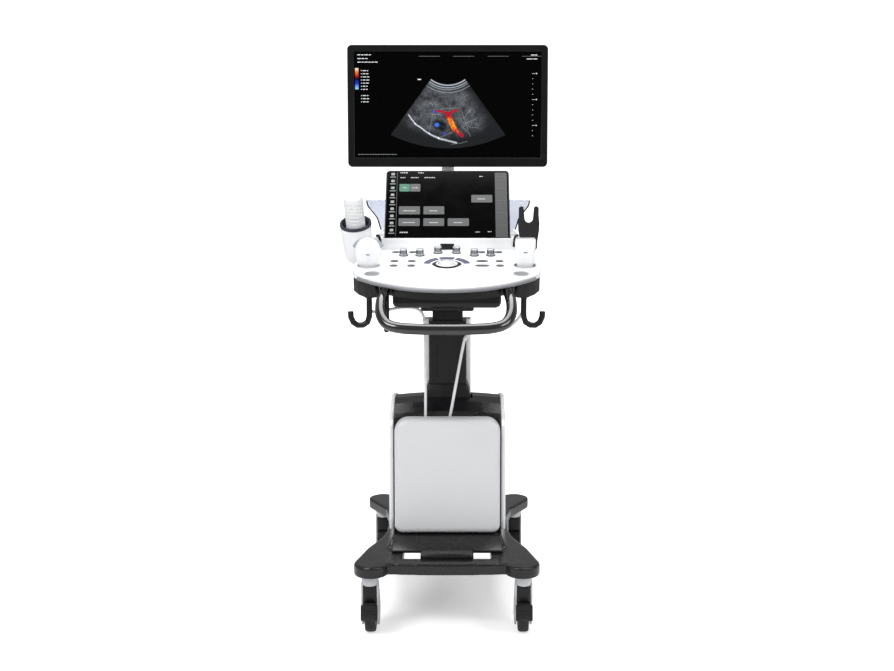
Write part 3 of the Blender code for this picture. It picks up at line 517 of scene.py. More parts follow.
panelNormal = Vector(joints["knob_1_turn"]["axis"]).normalized()
panelStart = Vector(joints["knob_1_turn"]["pos_m"])


def onPanel(x, y, lift=0.0):  # a point over the console's sloping face
    z = panelStart.z - panelNormal.y * (y - panelStart.y) / panelNormal.z
    return Vector((x, y, z)) + panelNormal * lift


panelTurn = Matrix.Rotation(math.atan2(-panelNormal.y, panelNormal.z), 4, "X")

glassLow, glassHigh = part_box("touch_glass")
touchTilt = math.radians(33.3)
touchUp = Vector((0, math.sin(touchTilt), math.cos(touchTilt)))
touchOut = Vector((0, -math.cos(touchTilt), math.sin(touchTilt)))
touchCentre = (glassLow + glassHigh) / 2 + touchOut * 0.0013
touchTurn = Matrix.Translation(touchCentre) @ Matrix.Rotation(math.pi / 2 - touchTilt, 4, "X")

screenLow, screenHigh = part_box("monitor_screen")


monitorLook = {"lip": 0.0035, "apex": (0.001, 1.551), "near": 0.080, "far": 0.2625, "footRadius": 0.372,
               "halfAngle": 36.3}


def between(tree, value, low, high, soft):  # 1 inside a band with soft ends, 0 outside
    rise = tree.nodes.new("ShaderNodeMapRange")
    fall = tree.nodes.new("ShaderNodeMapRange")
    for node, start, stop in ((rise, low - soft, low + soft), (fall, high + soft, high - soft)):
        node.interpolation_type = "SMOOTHSTEP"
        node.inputs["From Min"].default_value = start
        node.inputs["From Max"].default_value = stop
        tree.links.new(value, node.inputs["Value"])
    return times(tree, rise.outputs["Result"], fall.outputs["Result"])


def stroke(tree, x, z, start, end, width, soft):  # 1 near a line between two points of the screen
    dx, dz = end[0] - start[0], end[1] - start[1]
    length = math.hypot(dx, dz)
    ux, uz = dx / length, dz / length
    px, pz = minus(tree, x, start[0]), minus(tree, z, start[1])
    along = plus(tree, times(tree, px, ux), times(tree, pz, uz))
    nearest = calc(tree, "MINIMUM", calc(tree, "MAXIMUM", along, 0.0), length)
    offX = minus(tree, px, times(tree, nearest, ux))
    offZ = minus(tree, pz, times(tree, nearest, uz))
    away = distance(tree, offX, offZ)
    node = tree.nodes.new("ShaderNodeMapRange")
    node.interpolation_type = "SMOOTHSTEP"
    node.inputs["From Min"].default_value = width + soft
    node.inputs["From Max"].default_value = width - soft
    tree.links.new(away, node.inputs["Value"])
    return node.outputs["Result"]


def scanPicture():
    # a fan of grey speckle with bright near layers, a curved bright wall, and a coloured vessel
    finish, tree, shader = newFinish("scan_picture")
    vector = place(tree)
    split = tree.nodes.new("ShaderNodeSeparateXYZ")
    tree.links.new(vector, split.inputs["Vector"])
    x, z = split.outputs["X"], split.outputs["Z"]
    ax, az = monitorLook["apex"]
    right, down = minus(tree, x, ax), minus(tree, az, z)
    reach = distance(tree, right, down)
    angle = calc(tree, "ARCTAN2", right, down)
    half = math.radians(monitorLook["halfAngle"])
    footDown = minus(tree, az + monitorLook["footRadius"] - monitorLook["far"], z)
    foot = distance(tree, right, footDown)
    inFan = times(tree, between(tree, reach, monitorLook["near"], 0.40, 0.0010),
                 between(tree, angle, -half, half, 0.006))
    inFan = times(tree, inFan, between(tree, foot, 0.0, monitorLook["footRadius"], 0.0010))

    polar = tree.nodes.new("ShaderNodeCombineXYZ")
    tree.links.new(times(tree, angle, 0.16), polar.inputs["X"])
    tree.links.new(reach, polar.inputs["Y"])
    speckle = spread(tree, noise(tree, polar.outputs["Vector"], 420.0, 5.0, 0.7), 0.0, 1.0, 0.36, 0.74)
    clumps = spread(tree, noise(tree, vector, 38.0, 6.0, 0.65), 0.15, 1.0, 0.38, 0.68)
    tissue = times(tree, between(tree, reach, 0.095, 0.222, 0.022),
                  between(tree, angle, -0.60, 0.50, 0.14))
    grey = times(tree, times(tree, speckle, clumps), times(tree, tissue, 0.42))
    grey = plus(tree, grey, times(tree, speckle, 0.022))
    grey = plus(tree, grey, 0.010)
    for layer, strength in ((0.0835, 0.75), (0.0905, 0.50), (0.0960, 0.30), (0.1040, 0.24)):
        band = times(tree, between(tree, reach, layer - 0.0010, layer + 0.0012, 0.0012),
                    between(tree, angle, -0.66, 0.66, 0.05))
        grey = plus(tree, grey, times(tree, band, strength))
    walls = [((-0.112, 1.3835), (-0.0937, 1.3589)), ((-0.0937, 1.3589), (-0.0532, 1.3298)),
             ((-0.0532, 1.3298), (-0.0262, 1.3169)), ((-0.0262, 1.3169), (0.0245, 1.3045))]
    wobble = times(tree, minus(tree, noise(tree, vector, 60.0), 0.5), 0.006)
    z2 = plus(tree, z, wobble)
    for number, (start, end) in enumerate(walls):
        line = stroke(tree, x, z2, start, end, 0.0011 + 0.0004 * number, 0.0016)
        grey = plus(tree, grey, times(tree, line, 0.95 - 0.13 * number))
    strands = [((-0.0262, 1.3169), (0.012, 1.334)), ((0.044, 1.372), (0.066, 1.398)),
               ((0.050, 1.360), (0.082, 1.372)), ((0.060, 1.350), (0.088, 1.346)), ((0.040, 1.352), (0.060, 1.330)),
               ((-0.050, 1.388), (-0.020, 1.383)), ((-0.062, 1.425), (-0.042, 1.412)),
               ((0.010, 1.300), (0.055, 1.307))]
    for start, end in strands:
        line = stroke(tree, x, z2, start, end, 0.0006, 0.0016)
        grey = plus(tree, grey, times(tree, line, times(tree, speckle, 0.55)))
    hollow = stroke(tree, x, z2, (-0.030, 1.357), (-0.014, 1.350), 0.013, 0.006)  # a dark vein
    grey = times(tree, grey, minus(tree, 1.0, times(tree, hollow, 0.85)))
    grey = times(tree, grey, inFan)

    tint = tree.nodes.new("ShaderNodeCombineColor")
    tree.links.new(times(tree, grey, 0.90), tint.inputs["Red"])
    tree.links.new(times(tree, grey, 0.96), tint.inputs["Green"])
    tree.links.new(times(tree, grey, 1.06), tint.inputs["Blue"])
    picture = tint.outputs["Color"]
    vessel = [((-0.0300, 1.3950), (0.0010, 1.3890), 0.0028), ((0.0010, 1.3890), (0.0260, 1.3975), 0.0026),
              ((0.0015, 1.3850), (0.0110, 1.3600), 0.0070), ((0.0110, 1.3600), (0.0200, 1.3430), 0.0068),
              ((0.0200, 1.3430), (0.0410, 1.3240), 0.0042)]
    flowMask = None
    for start, end, width in vessel:
        part = stroke(tree, x, z2, start, end, width, 0.0018)
        flowMask = part if flowMask is None else calc(tree, "MAXIMUM", flowMask, part)
    heat = tree.nodes.new("ShaderNodeValToRGB")
    heat.color_ramp.elements[0].color = (0.55, 0.004, 0.02, 1)
    heat.color_ramp.elements[1].color = (1.0, 0.62, 0.05, 1)
    heat.color_ramp.elements[0].position, heat.color_ramp.elements[1].position = 0.32, 0.78
    middle = heat.color_ramp.elements.new(0.55)
    middle.color = (1.0, 0.16, 0.01, 1)
    core = between(tree, z, 1.338, 1.374, 0.014)
    warm = plus(tree, times(tree, core, 0.38),
                times(tree, spread(tree, noise(tree, vector, 150.0), 0, 1), 0.45))
    tree.links.new(warm, heat.inputs["Fac"])
    picture = mixColour(tree, flowMask, picture, heat.outputs["Color"])
    for spot, radius, colour in (((-0.0330, 1.3556), 0.0050, (0.06, 0.20, 0.85)),
                                 ((-0.0375, 1.3925), 0.0030, (0.06, 0.05, 0.60)),
                                 ((-0.012, 1.331), 0.0035, (0.05, 0.06, 0.50))):
        blob = stroke(tree, x, z2, spot, (spot[0] + 0.003, spot[1]), radius, 0.0030)
        picture = mixColour(tree, blob, picture, colour)
    for start, end in (((-0.0397, 1.3990), (-0.0545, 1.3280)), ((0.0367, 1.4040), (0.0650, 1.3220)),
                       ((-0.0397, 1.3990), (0.0367, 1.4040))):
        picture = mixColour(tree, times(tree, stroke(tree, x, z, start, end, 0.00025, 0.0004), 0.55),
                            picture, (0.75, 0.75, 0.80))

    bar = times(tree, between(tree, x, -0.2644, -0.2548, 0.0002), between(tree, z, 1.4560, 1.5160, 0.0002))
    scaleRamp = tree.nodes.new("ShaderNodeValToRGB")
    stops = [(0.0, (0.30, 0.75, 1.0, 1)), (0.25, (0.02, 0.05, 0.75, 1)), (0.5, (0.0, 0.0, 0.0, 1)),
             (0.62, (0.45, 0.01, 0.01, 1)), (0.82, (0.95, 0.20, 0.03, 1)), (1.0, (1.0, 0.95, 0.65, 1))]
    scaleRamp.color_ramp.elements[0].color = stops[0][1]
    scaleRamp.color_ramp.elements[1].color = stops[-1][1]
    for position, colour in stops[1:-1]:
        scaleRamp.color_ramp.elements.new(position).color = colour
    tree.links.new(spread(tree, z, 0.0, 1.0, 1.456, 1.516), scaleRamp.inputs["Fac"])
    picture = mixColour(tree, bar, picture, scaleRamp.outputs["Color"])

    shader.inputs["Base Color"].default_value = (0.0006, 0.0006, 0.0008, 1)
    tree.links.new(spread(tree, noise(tree, vector, 16.0, 5.0), 0.10, 0.20), shader.inputs["Roughness"])
    shader.inputs["Specular IOR Level"].default_value = 0.04
    tree.links.new(picture, shader.inputs["Emission Color"])
    shader.inputs["Emission Strength"].default_value = 1.0
    return finish


def paint(node, finish):  # a CAD node that keeps its shape takes a better finish
    target = frame["nodes"][node]
    if not target.material_slots:
        target.data.materials.append(finish)
    for held in target.material_slots:
        held.material = finish


def dash(x, z, width, height, y):  # one small lit mark on the screen
    return block("mark", (x, y - 0.00025, z - height / 2), (x + width, y, z + height / 2))


def makeMonitorMarks():
    y = screenLow.y - 0.0002
    white, dim = [], []
    left, right, top = screenLow.x, screenHigh.x, screenHigh.z
    rows = [(0.010, 0.0095, 4), (0.010, 0.0200, 3), (0.010, 0.0300, 6)]  # inset from the corner, and words
    for inset, drop, words in rows:
        x = left + inset
        for _ in range(words):
            width = random.uniform(0.006, 0.013)
            white.append(dash(x, top - drop, width, 0.0022, y))
            x += width + 0.0022
    for row in range(11):
        if row == 7:
            continue
        width = random.uniform(0.006, 0.010)
        z = top - 0.054 - row * 0.0088
        white.append(dash(left + 0.020, z, 0.0022, 0.0022, y))
        white.append(dash(left + 0.025, z, width, 0.0022, y))
        white.append(dash(left + 0.0275 + width, z, random.uniform(0.003, 0.009), 0.0022, y))
    for drop, width in ((0.010, 0.018), (0.021, 0.030)):
        white.append(dash(right - 0.012 - width, top - drop, width * 0.55, 0.0022, y))
        white.append(dash(right - 0.012 - width * 0.38, top - drop, width * 0.38, 0.0022, y))
    for tick in range(13):
        long = tick % 5 == 0
        width = 0.0075 if long else 0.0026
        white.append(dash(right - 0.026, top - 0.062 - tick * 0.0147, width, 0.0010, y))
        if long:
            white.append(dash(right - 0.016, top - 0.062 - tick * 0.0147, 0.004, 0.0026, y))
    white.append(dash(-0.086, 1.4840, 0.010, 0.0030, y))
    for start in range(14):
        dim.append(dash(left + 0.010 + start * 0.0080, screenLow.z + 0.010, 0.0068, 0.0014, y))
    for number in range(4):
        dim.append(dash(-0.082 + number * 0.098, top - 0.0135, 0.060, 0.0007, y))
    add(joinAll("screen_marks", white), "monitor", "screen_glass", glowing("screen_white", (0.75, 0.78, 0.80), 0.8))
    add(joinAll("screen_marks_dim", dim), "monitor", "screen_glass", glowing("screen_dim", (0.30, 0.31, 0.33), 0.5))


def makeMonitor():
    low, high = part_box("monitor_bezel")
    bezel = block("monitor_frame", low, high)
    roundEdges(bezel, lambda a, b: abs(a.y - b.y) > 0.005, 0.013, 8)  # the four corners, seen from the front
    faces(bezel, lambda centre, normal: normal.y < -0.9)
    bpy.ops.mesh.inset(thickness=monitorLook["lip"], depth=0.0)
    bpy.ops.object.mode_set(mode="OBJECT")
    window = block("window", (screenLow.x + 0.0003, low.y - 0.01, screenLow.z + 0.0003),
                   (screenHigh.x - 0.0003, high.y + 0.01, screenHigh.z - 0.0003))
    cut(bezel, window)
    soften(bezel, 0.0018, 3, 40)
    add(smooth(bezel), "monitor", "black_shell", finishes["bezel"], "monitor_bezel")
    paint("monitor_screen", scanPicture())

    low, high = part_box("monitor_rear_cover")
    back = block("monitor_back", (low.x, low.y, low.z), (high.x, low.y + 0.0265, high.z))
    roundEdges(back, lambda a, b: abs(a.y - b.y) > 0.01, 0.020, 8)
    roundEdges(back, lambda a, b: a.y > low.y + 0.026 and b.y > low.y + 0.026, 0.012, 6)
    vents = []
    for number in range(26):
        x = -0.1625 + number * 0.013
        vents.append(block("vent", (x, low.y + 0.018, high.z - 0.075), (x + 0.006, low.y + 0.040, high.z - 0.045)))
    cut(back, joinAll("vents", vents))
    add(smooth(back), "monitor", "white_shell", finishes["white"], "monitor_rear_cover")
    panel = block("monitor_back_panel", (-0.210, low.y + 0.022, low.z + 0.068),
                  (0.210, low.y + 0.0285, high.z - 0.092), 0.0)
    roundEdges(panel, lambda a, b: abs(a.y - b.y) > 0.004, 0.018, 8)
    soften(panel, 0.0016, 3, 40)
    add(smooth(panel), "monitor", "white_shell", finishes["whiteSatin"])
    inner = block("monitor_vent_mesh", (-0.170, low.y + 0.012, high.z - 0.080),
                  (0.170, low.y + 0.0195, high.z - 0.040))
    add(inner, "monitor", "black_shell", finishes["black"])
    portBay = block("monitor_port_bay", (-0.060, low.y + 0.016, low.z + 0.020),
                    (0.060, low.y + 0.0262, low.z + 0.052), 0.002)
    add(portBay, "monitor", "black_shell", finishes["black"])
    sockets = [block("socket", (x, low.y + 0.0255, low.z + 0.028), (x + 0.018, low.y + 0.0275, low.z + 0.042), 0.001)
               for x in (-0.048, -0.020, 0.008, 0.034)]
    add(joinAll("monitor_sockets", sockets), "monitor", "grey_trim", finishes["steel"])

    pin = Vector(joints["monitor_tilt"]["pos_m"])
    mount = block("monitor_mount_plate", (-0.050, low.y + 0.022, 1.374), (0.050, low.y + 0.032, 1.458), 0.003)
    lugs = []
    for side in (-1, 1):
        cheek = block("cheek", (side * 0.031 - 0.004, low.y + 0.028, pin.z - 0.016),
                      (side * 0.031 + 0.004, pin.y, pin.z + 0.016))
        eye = drum("eye", 0.0135, 0.008, (side * 0.031, pin.y, pin.z), (1, 0, 0))
        cap = drum("cap", 0.0090, 0.004, (side * 0.0365, pin.y, pin.z), (1, 0, 0), 0.001)
        lugs += [cheek, eye, cap]
    add(smooth(joinAll("monitor_lugs", lugs)), "monitor", "grey_metal", finishes["silver"])
    screws = [drum("screw", 0.0040, 0.004, (x, low.y + 0.033, z), (0, 1, 0), 0.001, 20)
              for x in (-0.041, 0.041) for z in (1.369, 1.449)]
    add(joinAll("mount_screws", screws), "monitor", "grey_metal", finishes["steel"])
    add(mount, "monitor", "grey_metal", finishes["silver"])


def makeArm():
    swivel = Vector(joints["arm_swivel"]["pos_m"])
    low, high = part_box("monitor_arm")
    topY = joints["monitor_tilt"]["pos_m"][1]
    mast = block("arm_mast", (-0.018, swivel.y - 0.0125, 1.098), (0.018, swivel.y + 0.0125, high.z))
    faces(mast, lambda centre, normal: normal.z > 0.9)
    bpy.ops.transform.translate(value=(0, topY - swivel.y, 0))
    bpy.ops.object.mode_set(mode="OBJECT")
    soften(mast, 0.005, 4)
    hub = lathe("arm_hub", [(0, 0.0286), (0.0195, 0.0286), (0.0225, 0.0256), (0.0225, 0.0015), (0.0215, 0.0),
                            (0, 0.0)],
                (0, swivel.y, swivel.z + 0.0003))
    add(smooth(joinAll("arm", [mast, hub])), "arm", "grey_metal", finishes["whiteSatin"], "monitor_arm")
    line = [(0, swivel.y + 0.0150, 1.112), (0, swivel.y + 0.0160, 1.16), (0, swivel.y + 0.0120, 1.22),
            (0, topY + 0.0165, 1.33), (0, topY + 0.0145, 1.366)]
    add(pipe("arm_cable", flow(line), 0.0032), "arm", "soft_black", finishes["rubber"])
    clips = [block("clip", (-0.0055, swivel.y + 0.0080 - 0.055 * (z - 1.1), z),
                   (0.0055, swivel.y + 0.0205 - 0.055 * (z - 1.1), z + 0.010), 0.001)
             for z in (1.150, 1.290)]
    add(joinAll("arm_cable_clips", clips), "arm", "black_shell", finishes["black"])
    post = lathe("swivel_post", [(0, 0.0391), (0.0200, 0.0391), (0.0230, 0.0361), (0.0230, 0.0080), (0.0245, 0.0060),
                                 (0.0275, 0.0045), (0.0280, 0.0000), (0, 0.0)],
                 (0, swivel.y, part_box("monitor_post")[0].z))
    add(post, "console", "grey_metal", finishes["silver"], "monitor_post")
    low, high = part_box("monitor_knuckle")
    pin = Vector(joints["monitor_tilt"]["pos_m"])
    stub = drum("stub", 0.0138, pin.z - low.z, (0, pin.y, (pin.z + low.z) / 2), (0, 0, 1), 0.001)
    barrel = drum("barrel", 0.0120, 0.050, pin, (1, 0, 0), 0.001)
    add(joinAll("knuckle", [stub, barrel]), "knuckle", "grey_metal", finishes["whiteSatin"], "monitor_knuckle")


makeMonitorMarks()
makeMonitor()
makeArm()
print("monitor done")


touchLook = {  # marks in mm from the middle of the lower edge: left, right, low, high
    "grey": [(-136, -77, 88, 114), (-67, -9, 88, 114), (-136, -77, 50.5, 75), (-67, -9, 50.5, 75), (1, 60, 50.5, 75),
             (67, 126, 127, 151.5), (-106, -77, 163, 188)],
    "green": [(-136, -107, 163, 188)],
    "words": [(-134, -112, 224, 3), (-134, -120, 208, 2.4), (-104, -82, 208, 2.4), (-66, -36, 208, 2.4),
              (-84, -68, 224, 2.4), (-124, -90, 98, 2.4), (-50, -28, 98, 2.4), (-124, -90, 60,
                                                                                2.4), (-50, -26, 60, 2.4),
              (18, 42, 60, 2.4), (84, 108, 137, 2.4), (-126, -114, 174, 2.4), (-100, -84, 174,
                                                                               2.4), (-132, -110, 28, 3.2),
              (78, 90, 30, 2), (112, 122, 31, 2), (90, 100, 212, 2.4)],
}
touchSize = glassHigh.x - glassLow.x, (Vector((0, glassHigh.y - glassLow.y, glassHigh.z - glassLow.z))).dot(touchUp)


def onTouch(objs, name):  # from flat drawing to the tilted glass
    joined = joinAll(name, objs)
    joined.matrix_world = touchTurn @ joined.matrix_world
    return settle(joined)


def tile(left, right, low, high, thick=0.0004, corner=0.0):
    centre = touchSize[1] / 2
    made = block("tile", (left / 1000, low / 1000 - centre, 0.0), (right / 1000, high / 1000 - centre, thick))
    if corner:
        roundEdges(made, lambda a, b: abs(a.z - b.z) > thick / 2, corner, 3)
    return made


def makeTouchScreen():
    grey = [tile(*spot, corner=0.0025) for spot in touchLook["grey"]]
    green = [tile(*spot, corner=0.0025) for spot in touchLook["green"]]
    words = []
    for left, right, low, tall in touchLook["words"]:
        x = left
        while x < right - 1:
            width = random.uniform(3, 7)
            words.append(tile(x, min(x + width, right), low, low + tall, 0.0007))
            x += width + 1.4
    icons = []
    for number in range(9):
        low = 26 + number * 23
        icons.append(tile(-160, -150, low + 7, low + 15, 0.0006, 0.002))
        icons.append(tile(-163, -147, low, low + 2.2, 0.0006))
    column = [tile(134, 168, 14, 226, 0.0003, 0.002)]
    rules = [tile(136, 166, low, low + 0.8, 0.0006) for low in (52, 92, 132, 172, 212)]
    rail = [tile(-143.4, -142.6, 18, 226, 0.0005)]
    add(onTouch(grey, "touch_buttons"), "touch_screen", "screen_glass", glowing("button_grey", (0.075, 0.078, 0.080),
                                                                                1.0))
    add(onTouch(green, "touch_button_on"), "touch_screen", "screen_glass",
        glowing("button_green", (0.03, 0.16, 0.10), 1.0))
    add(onTouch(words, "touch_words"), "touch_screen", "screen_glass",
        glowing("touch_white", (0.55, 0.56, 0.56), 0.8))
    add(onTouch(icons, "touch_icons"), "touch_screen", "screen_glass", glowing("icon_grey", (0.30, 0.33, 0.32), 0.8))
    add(onTouch(column, "touch_side_column"), "touch_screen", "screen_glass",
        glowing("column_grey", (0.035, 0.036, 0.038), 1.0))
    add(onTouch(rules + rail, "touch_rules"), "touch_screen", "screen_glass",
        glowing("rule_grey", (0.14, 0.14, 0.145), 0.8))
    paint("touch_glass", finishes["glass"])

    half, tall = 0.175, 0.237
    shell = block("touch_body", (-half, -tall / 2, -0.0190), (half, tall / 2, -0.0006))
    roundEdges(shell, lambda a, b: abs(a.z - b.z) > 0.01, 0.011, 8)
    faces(shell, lambda centre, normal: normal.z < -0.9)
    bpy.ops.transform.resize(value=(0.94, 0.92, 1))
    bpy.ops.object.mode_set(mode="OBJECT")
    soften(shell, 0.0016, 3, 40)
    pocket = block("pocket", (-half + 0.0034, -tall / 2 + 0.0034, -0.0042), (half - 0.0034, tall / 2 - 0.0034, 0.01))
    roundEdges(pocket, lambda a, b: abs(a.z - b.z) > 0.01, 0.0085, 6)
    cut(shell, pocket)
    vents = [block("vent", (x, 0.020, -0.03),
                   (x + 0.004, 0.070, -0.0165)) for x in [-0.11 + 0.011 * i for i in range(20)]]
    cut(shell, joinAll("touch_vents", vents))
    shell.matrix_world = touchTurn @ shell.matrix_world
    settle(shell)
    pin = Vector(joints["touch_tilt"]["pos_m"])
    knuckle = drum("touch_knuckle", 0.0085, 0.062, pin, (1, 0, 0), 0.0008)
    neck = block("neck", (-0.031, -0.0085, 0.0), (0.031, 0.0085, 0.018))
    neck.matrix_world = Matrix.Translation(pin) @ Matrix.Rotation(math.pi / 2 - touchTilt, 4, "X") @ neck.matrix_world
    settle(neck)
    add(smooth(joinAll("touch_case", [shell, knuckle, neck])), "touch_screen", "black_shell", finishes["black"],
        "touch_shell")


makeTouchScreen()
print("touch screen done")


def makeConsoleTrim():
    paint("console_top", finishes["white"])
    paint("console_under", finishes["black"])
    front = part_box("console_top")[0].y
    # a grey band that follows the panel's front edge: painted shade on the white panel's front face
    line = []
    corner = Vector((0.228, -0.2545))
    middle = Vector((0.0, front))
    radius = (corner.x ** 2 + (corner.y - middle.y) ** 2) / (2 * (corner.y - middle.y))
    sweep = math.asin(corner.x / radius)
    for step in range(41):
        angle = -sweep + 2 * sweep * step / 40
        spot = Vector((radius * math.sin(angle), middle.y + radius - radius * math.cos(angle)))
        line.append(onPanel(spot.x, spot.y - 0.0012, -0.0085))
    band = pipe("console_front_painted_shade_band", line, 0.0046, 4)
    add(band, "console", "grey_trim", finishes["grey"])
    bar = block("panel_slot", (-0.0275, -0.0016, -0.0004), (0.0275, 0.0016, 0.0008), 0.0006)
    bar.matrix_world = Matrix.Translation(onPanel(0.112, -0.0205)) @ panelTurn
    add(settle(bar), "console", "black_shell", finishes["black"])


def makeKnobs():
    knob = lathe("knob", [(0, 0.0182), (0.0070, 0.0182), (0.0080, 0.0188), (0.0088, 0.0184), (0.0095, 0.0170),
                          (0.0100, 0.0050), (0.0106, 0.0042), (0.0106, 0.0008), (0, 0.0008)], (0, 0, 0))
    # dark ribs round each knob's side: their dark colour is painted shade on the sides
    rib = block("grip", (0.0092, -0.00050, 0.0040), (0.0104, 0.00050, 0.0150))
    ribs = [rib] + [twin(rib, "rib", Matrix.Rotation(math.tau * i / 28, 4, "Z")) for i in range(1, 28)]
    # dark collar under each knob: its dark colour is painted shadow beneath the knob
    collar = lathe("collar", [(0.0107, 0.0026), (0.0116, 0.0026), (0.0128, 0.0014), (0.0130, 0.0002),
                              (0.0107, 0.0002), (0.0107, 0.0026)], (0, 0, 0))
    pointer = block("pointer", (-0.0005, 0.0040, 0.0180), (0.0005, 0.0075, 0.0185))
    knobBody = smooth(knob)
    grip = joinAll("knob_side_shade_master", ribs)
    for number in range(1, 7):
        joint = joints[f"knob_{number}_turn"]
        spot = Matrix.Translation(joint["pos_m"]) @ panelTurn
        add(twin(knobBody, f"knob_cap_{number}", spot), f"knob_{number}_body", "grey_trim", finishes["silver"],
            f"knob_{number}")
        add(twin(grip, f"knob_side_shade_{number}", spot), f"knob_{number}_body", "key_grey", finishes["keyTop"])
        add(twin(pointer, f"knob_pointer_{number}", spot), f"knob_{number}_body", "grey_trim", finishes["black"])
        add(twin(collar, f"knob_painted_shadow_collar_{number}", spot), "console", "key_grey", finishes["keyTop"])
    for master in (knobBody, grip, pointer, collar):
        bpy.data.objects.remove(master)


def makeTrackball():
    ballSpot = Vector(joints["trackball_roll"]["pos_m"])
    bpy.ops.mesh.primitive_uv_sphere_add(segments=64, ring_count=32, radius=0.0262, location=ballSpot)
    ball = bpy.context.object
    ball.name = "ball_painted_shade_grey"
    settle(ball)
    # the white ball takes the pale grey finish: painted shade
    add(smooth(ball, 60), "ball", "white_shell", finishes["paleGrey"], "trackball")
    # the surround is an eye shape: a thin dark line with a point at each side, round a white seat
    seat = ballSpot + panelNormal * 0.0150
    turn = Matrix.Translation(seat + panelNormal * 0.0006) @ panelTurn
    outline = []
    for step in range(64):
        angle = math.tau * step / 64
        wide = 0.0330 + 0.0060 * abs(math.cos(angle)) ** 7
        outline.append((wide * math.cos(angle), 0.0330 * math.sin(angle) * (1 - 0.14 * abs(math.cos(angle)) ** 3)))
    bpy.ops.mesh.primitive_circle_add(vertices=64, radius=0.035, fill_type="NGON")
    eye = bpy.context.object
    eye.name = "ball_surround"
    for vertex, (x, y) in zip(eye.data.vertices, outline):
        vertex.co.x, vertex.co.y = x, y
    modify(eye, "SOLIDIFY", thickness=0.0050, offset=0.0)
    room = drum("seat", 0.0288, 0.05, (0, 0, 0), (0, 0, 1))
    room.scale.y = 0.96
    cut(eye, settle(room))
    soften(eye, 0.0010, 3, 40)
    eye.matrix_world = turn
    settle(eye)
    add(smooth(eye), "console", "key_grey", finishes["black"], "trackball_ring")
    dish = lathe("ball_seat", [(0.0286, 0.0022), (0.0270, 0.0030), (0.0252, 0.0016), (0.0240, -0.0030),
                               (0.0240, -0.0060),
                               (0.0286, -0.0060), (0.0286, 0.0022)], (0, 0, 0))
    dish.scale.y = 0.96
    settle(dish)
    dish.matrix_world = turn
    settle(dish)
    add(dish, "console", "white_shell", finishes["whiteSatin"])


def makeKeys():
    for node in ("keys_left", "keys_right"):
        paint(node, finishes["keyTop"])
    for node in ("arc_key_left", "arc_key_top", "arc_key_right"):
        paint(node, finishes["arcTop"])


def makeCradle():
    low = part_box("touch_base")[0]
    paint("touch_base", finishes["paleGrey"])
    for side, word in ((-1, "left"), (1, "right")):
        xs = sorted((side * 0.092, side * 0.1745))
        cheek = block(f"cradle_cheek_{word}", (xs[0], low.y - 0.0016, 1.0010), (xs[1], low.y + 0.0004, 1.0240),
                      0.0007)
        add(cheek, "console", "white_shell", finishes["white"])
        line = [(side * 0.1950, low.y + 0.004, 1.0470), (side * 0.1895, low.y + 0.001, 1.0480),
                (side * 0.1855, low.y - 0.002, 1.0400),
                (side * 0.1838, low.y - 0.004, 1.0280), (side * 0.1828, low.y - 0.004, 1.0170)]
        add(pipe(f"cradle_bracket_{word}", flow(line), 0.0034), "console", "black_shell", finishes["black"])
    band = block("cradle_band", (-0.0910, low.y - 0.0012, 1.0030), (0.0910, low.y + 0.0004, 1.0230), 0.0007)
    add(band, "console", "grey_trim", finishes["grey"])
    hinge = block("cradle_hinge_cover", (-0.019, low.y - 0.0018, 1.0060), (0.019, low.y + 0.0004, 1.0255), 0.0008)
    add(hinge, "console", "black_shell", finishes["charcoal"])


def makeBin():
    paint("storage_bin", finishes["clearBlue"])
    low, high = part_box("storage_bin")
    profile = [(0.2438, 1.1350), (0.2388, 1.118), (0.2248, 1.100), (0.2118, 1.082), (0.2048, 1.060), (0.2008, 1.048)]
    for side, word in ((-1, "left"), (1, "right")):
        line = flow([(side * x, low.y + 0.0005, z) for x, z in profile])
        add(pipe(f"bin_trim_{word}", line, 0.0022), "console", "black_shell", finishes["black"])
    lip = [(-0.2430, low.y + 0.001, high.z), (0.2430, low.y + 0.001, high.z), (0.2430, high.y - 0.001, high.z),
           (-0.2430, high.y - 0.001, high.z), (-0.2430, low.y + 0.001, high.z)]
    rim = [pipe("lip", [Vector(a), Vector(b)], 0.0018) for a, b in zip(lip, lip[1:])]
    add(joinAll("bin_lip", rim), "console", "clear_blue", finishes["clearBlue"])


cupLook = {
    "mouth": (-0.2450, -0.1095, 1.0865),
    "liner": [(0.0384, 0.0026), (0.0408, 0.0030), (0.0424, 0.0016), (0.0426, -0.0060), (0.0418, -0.0068),
              (0.0370, -0.0020), (0.0366, -0.0600), (0.0356, -0.0602), (0.0360,
                                                                        -0.0010), (0.0370, 0.0010), (0.0384, 0.0022)],
}


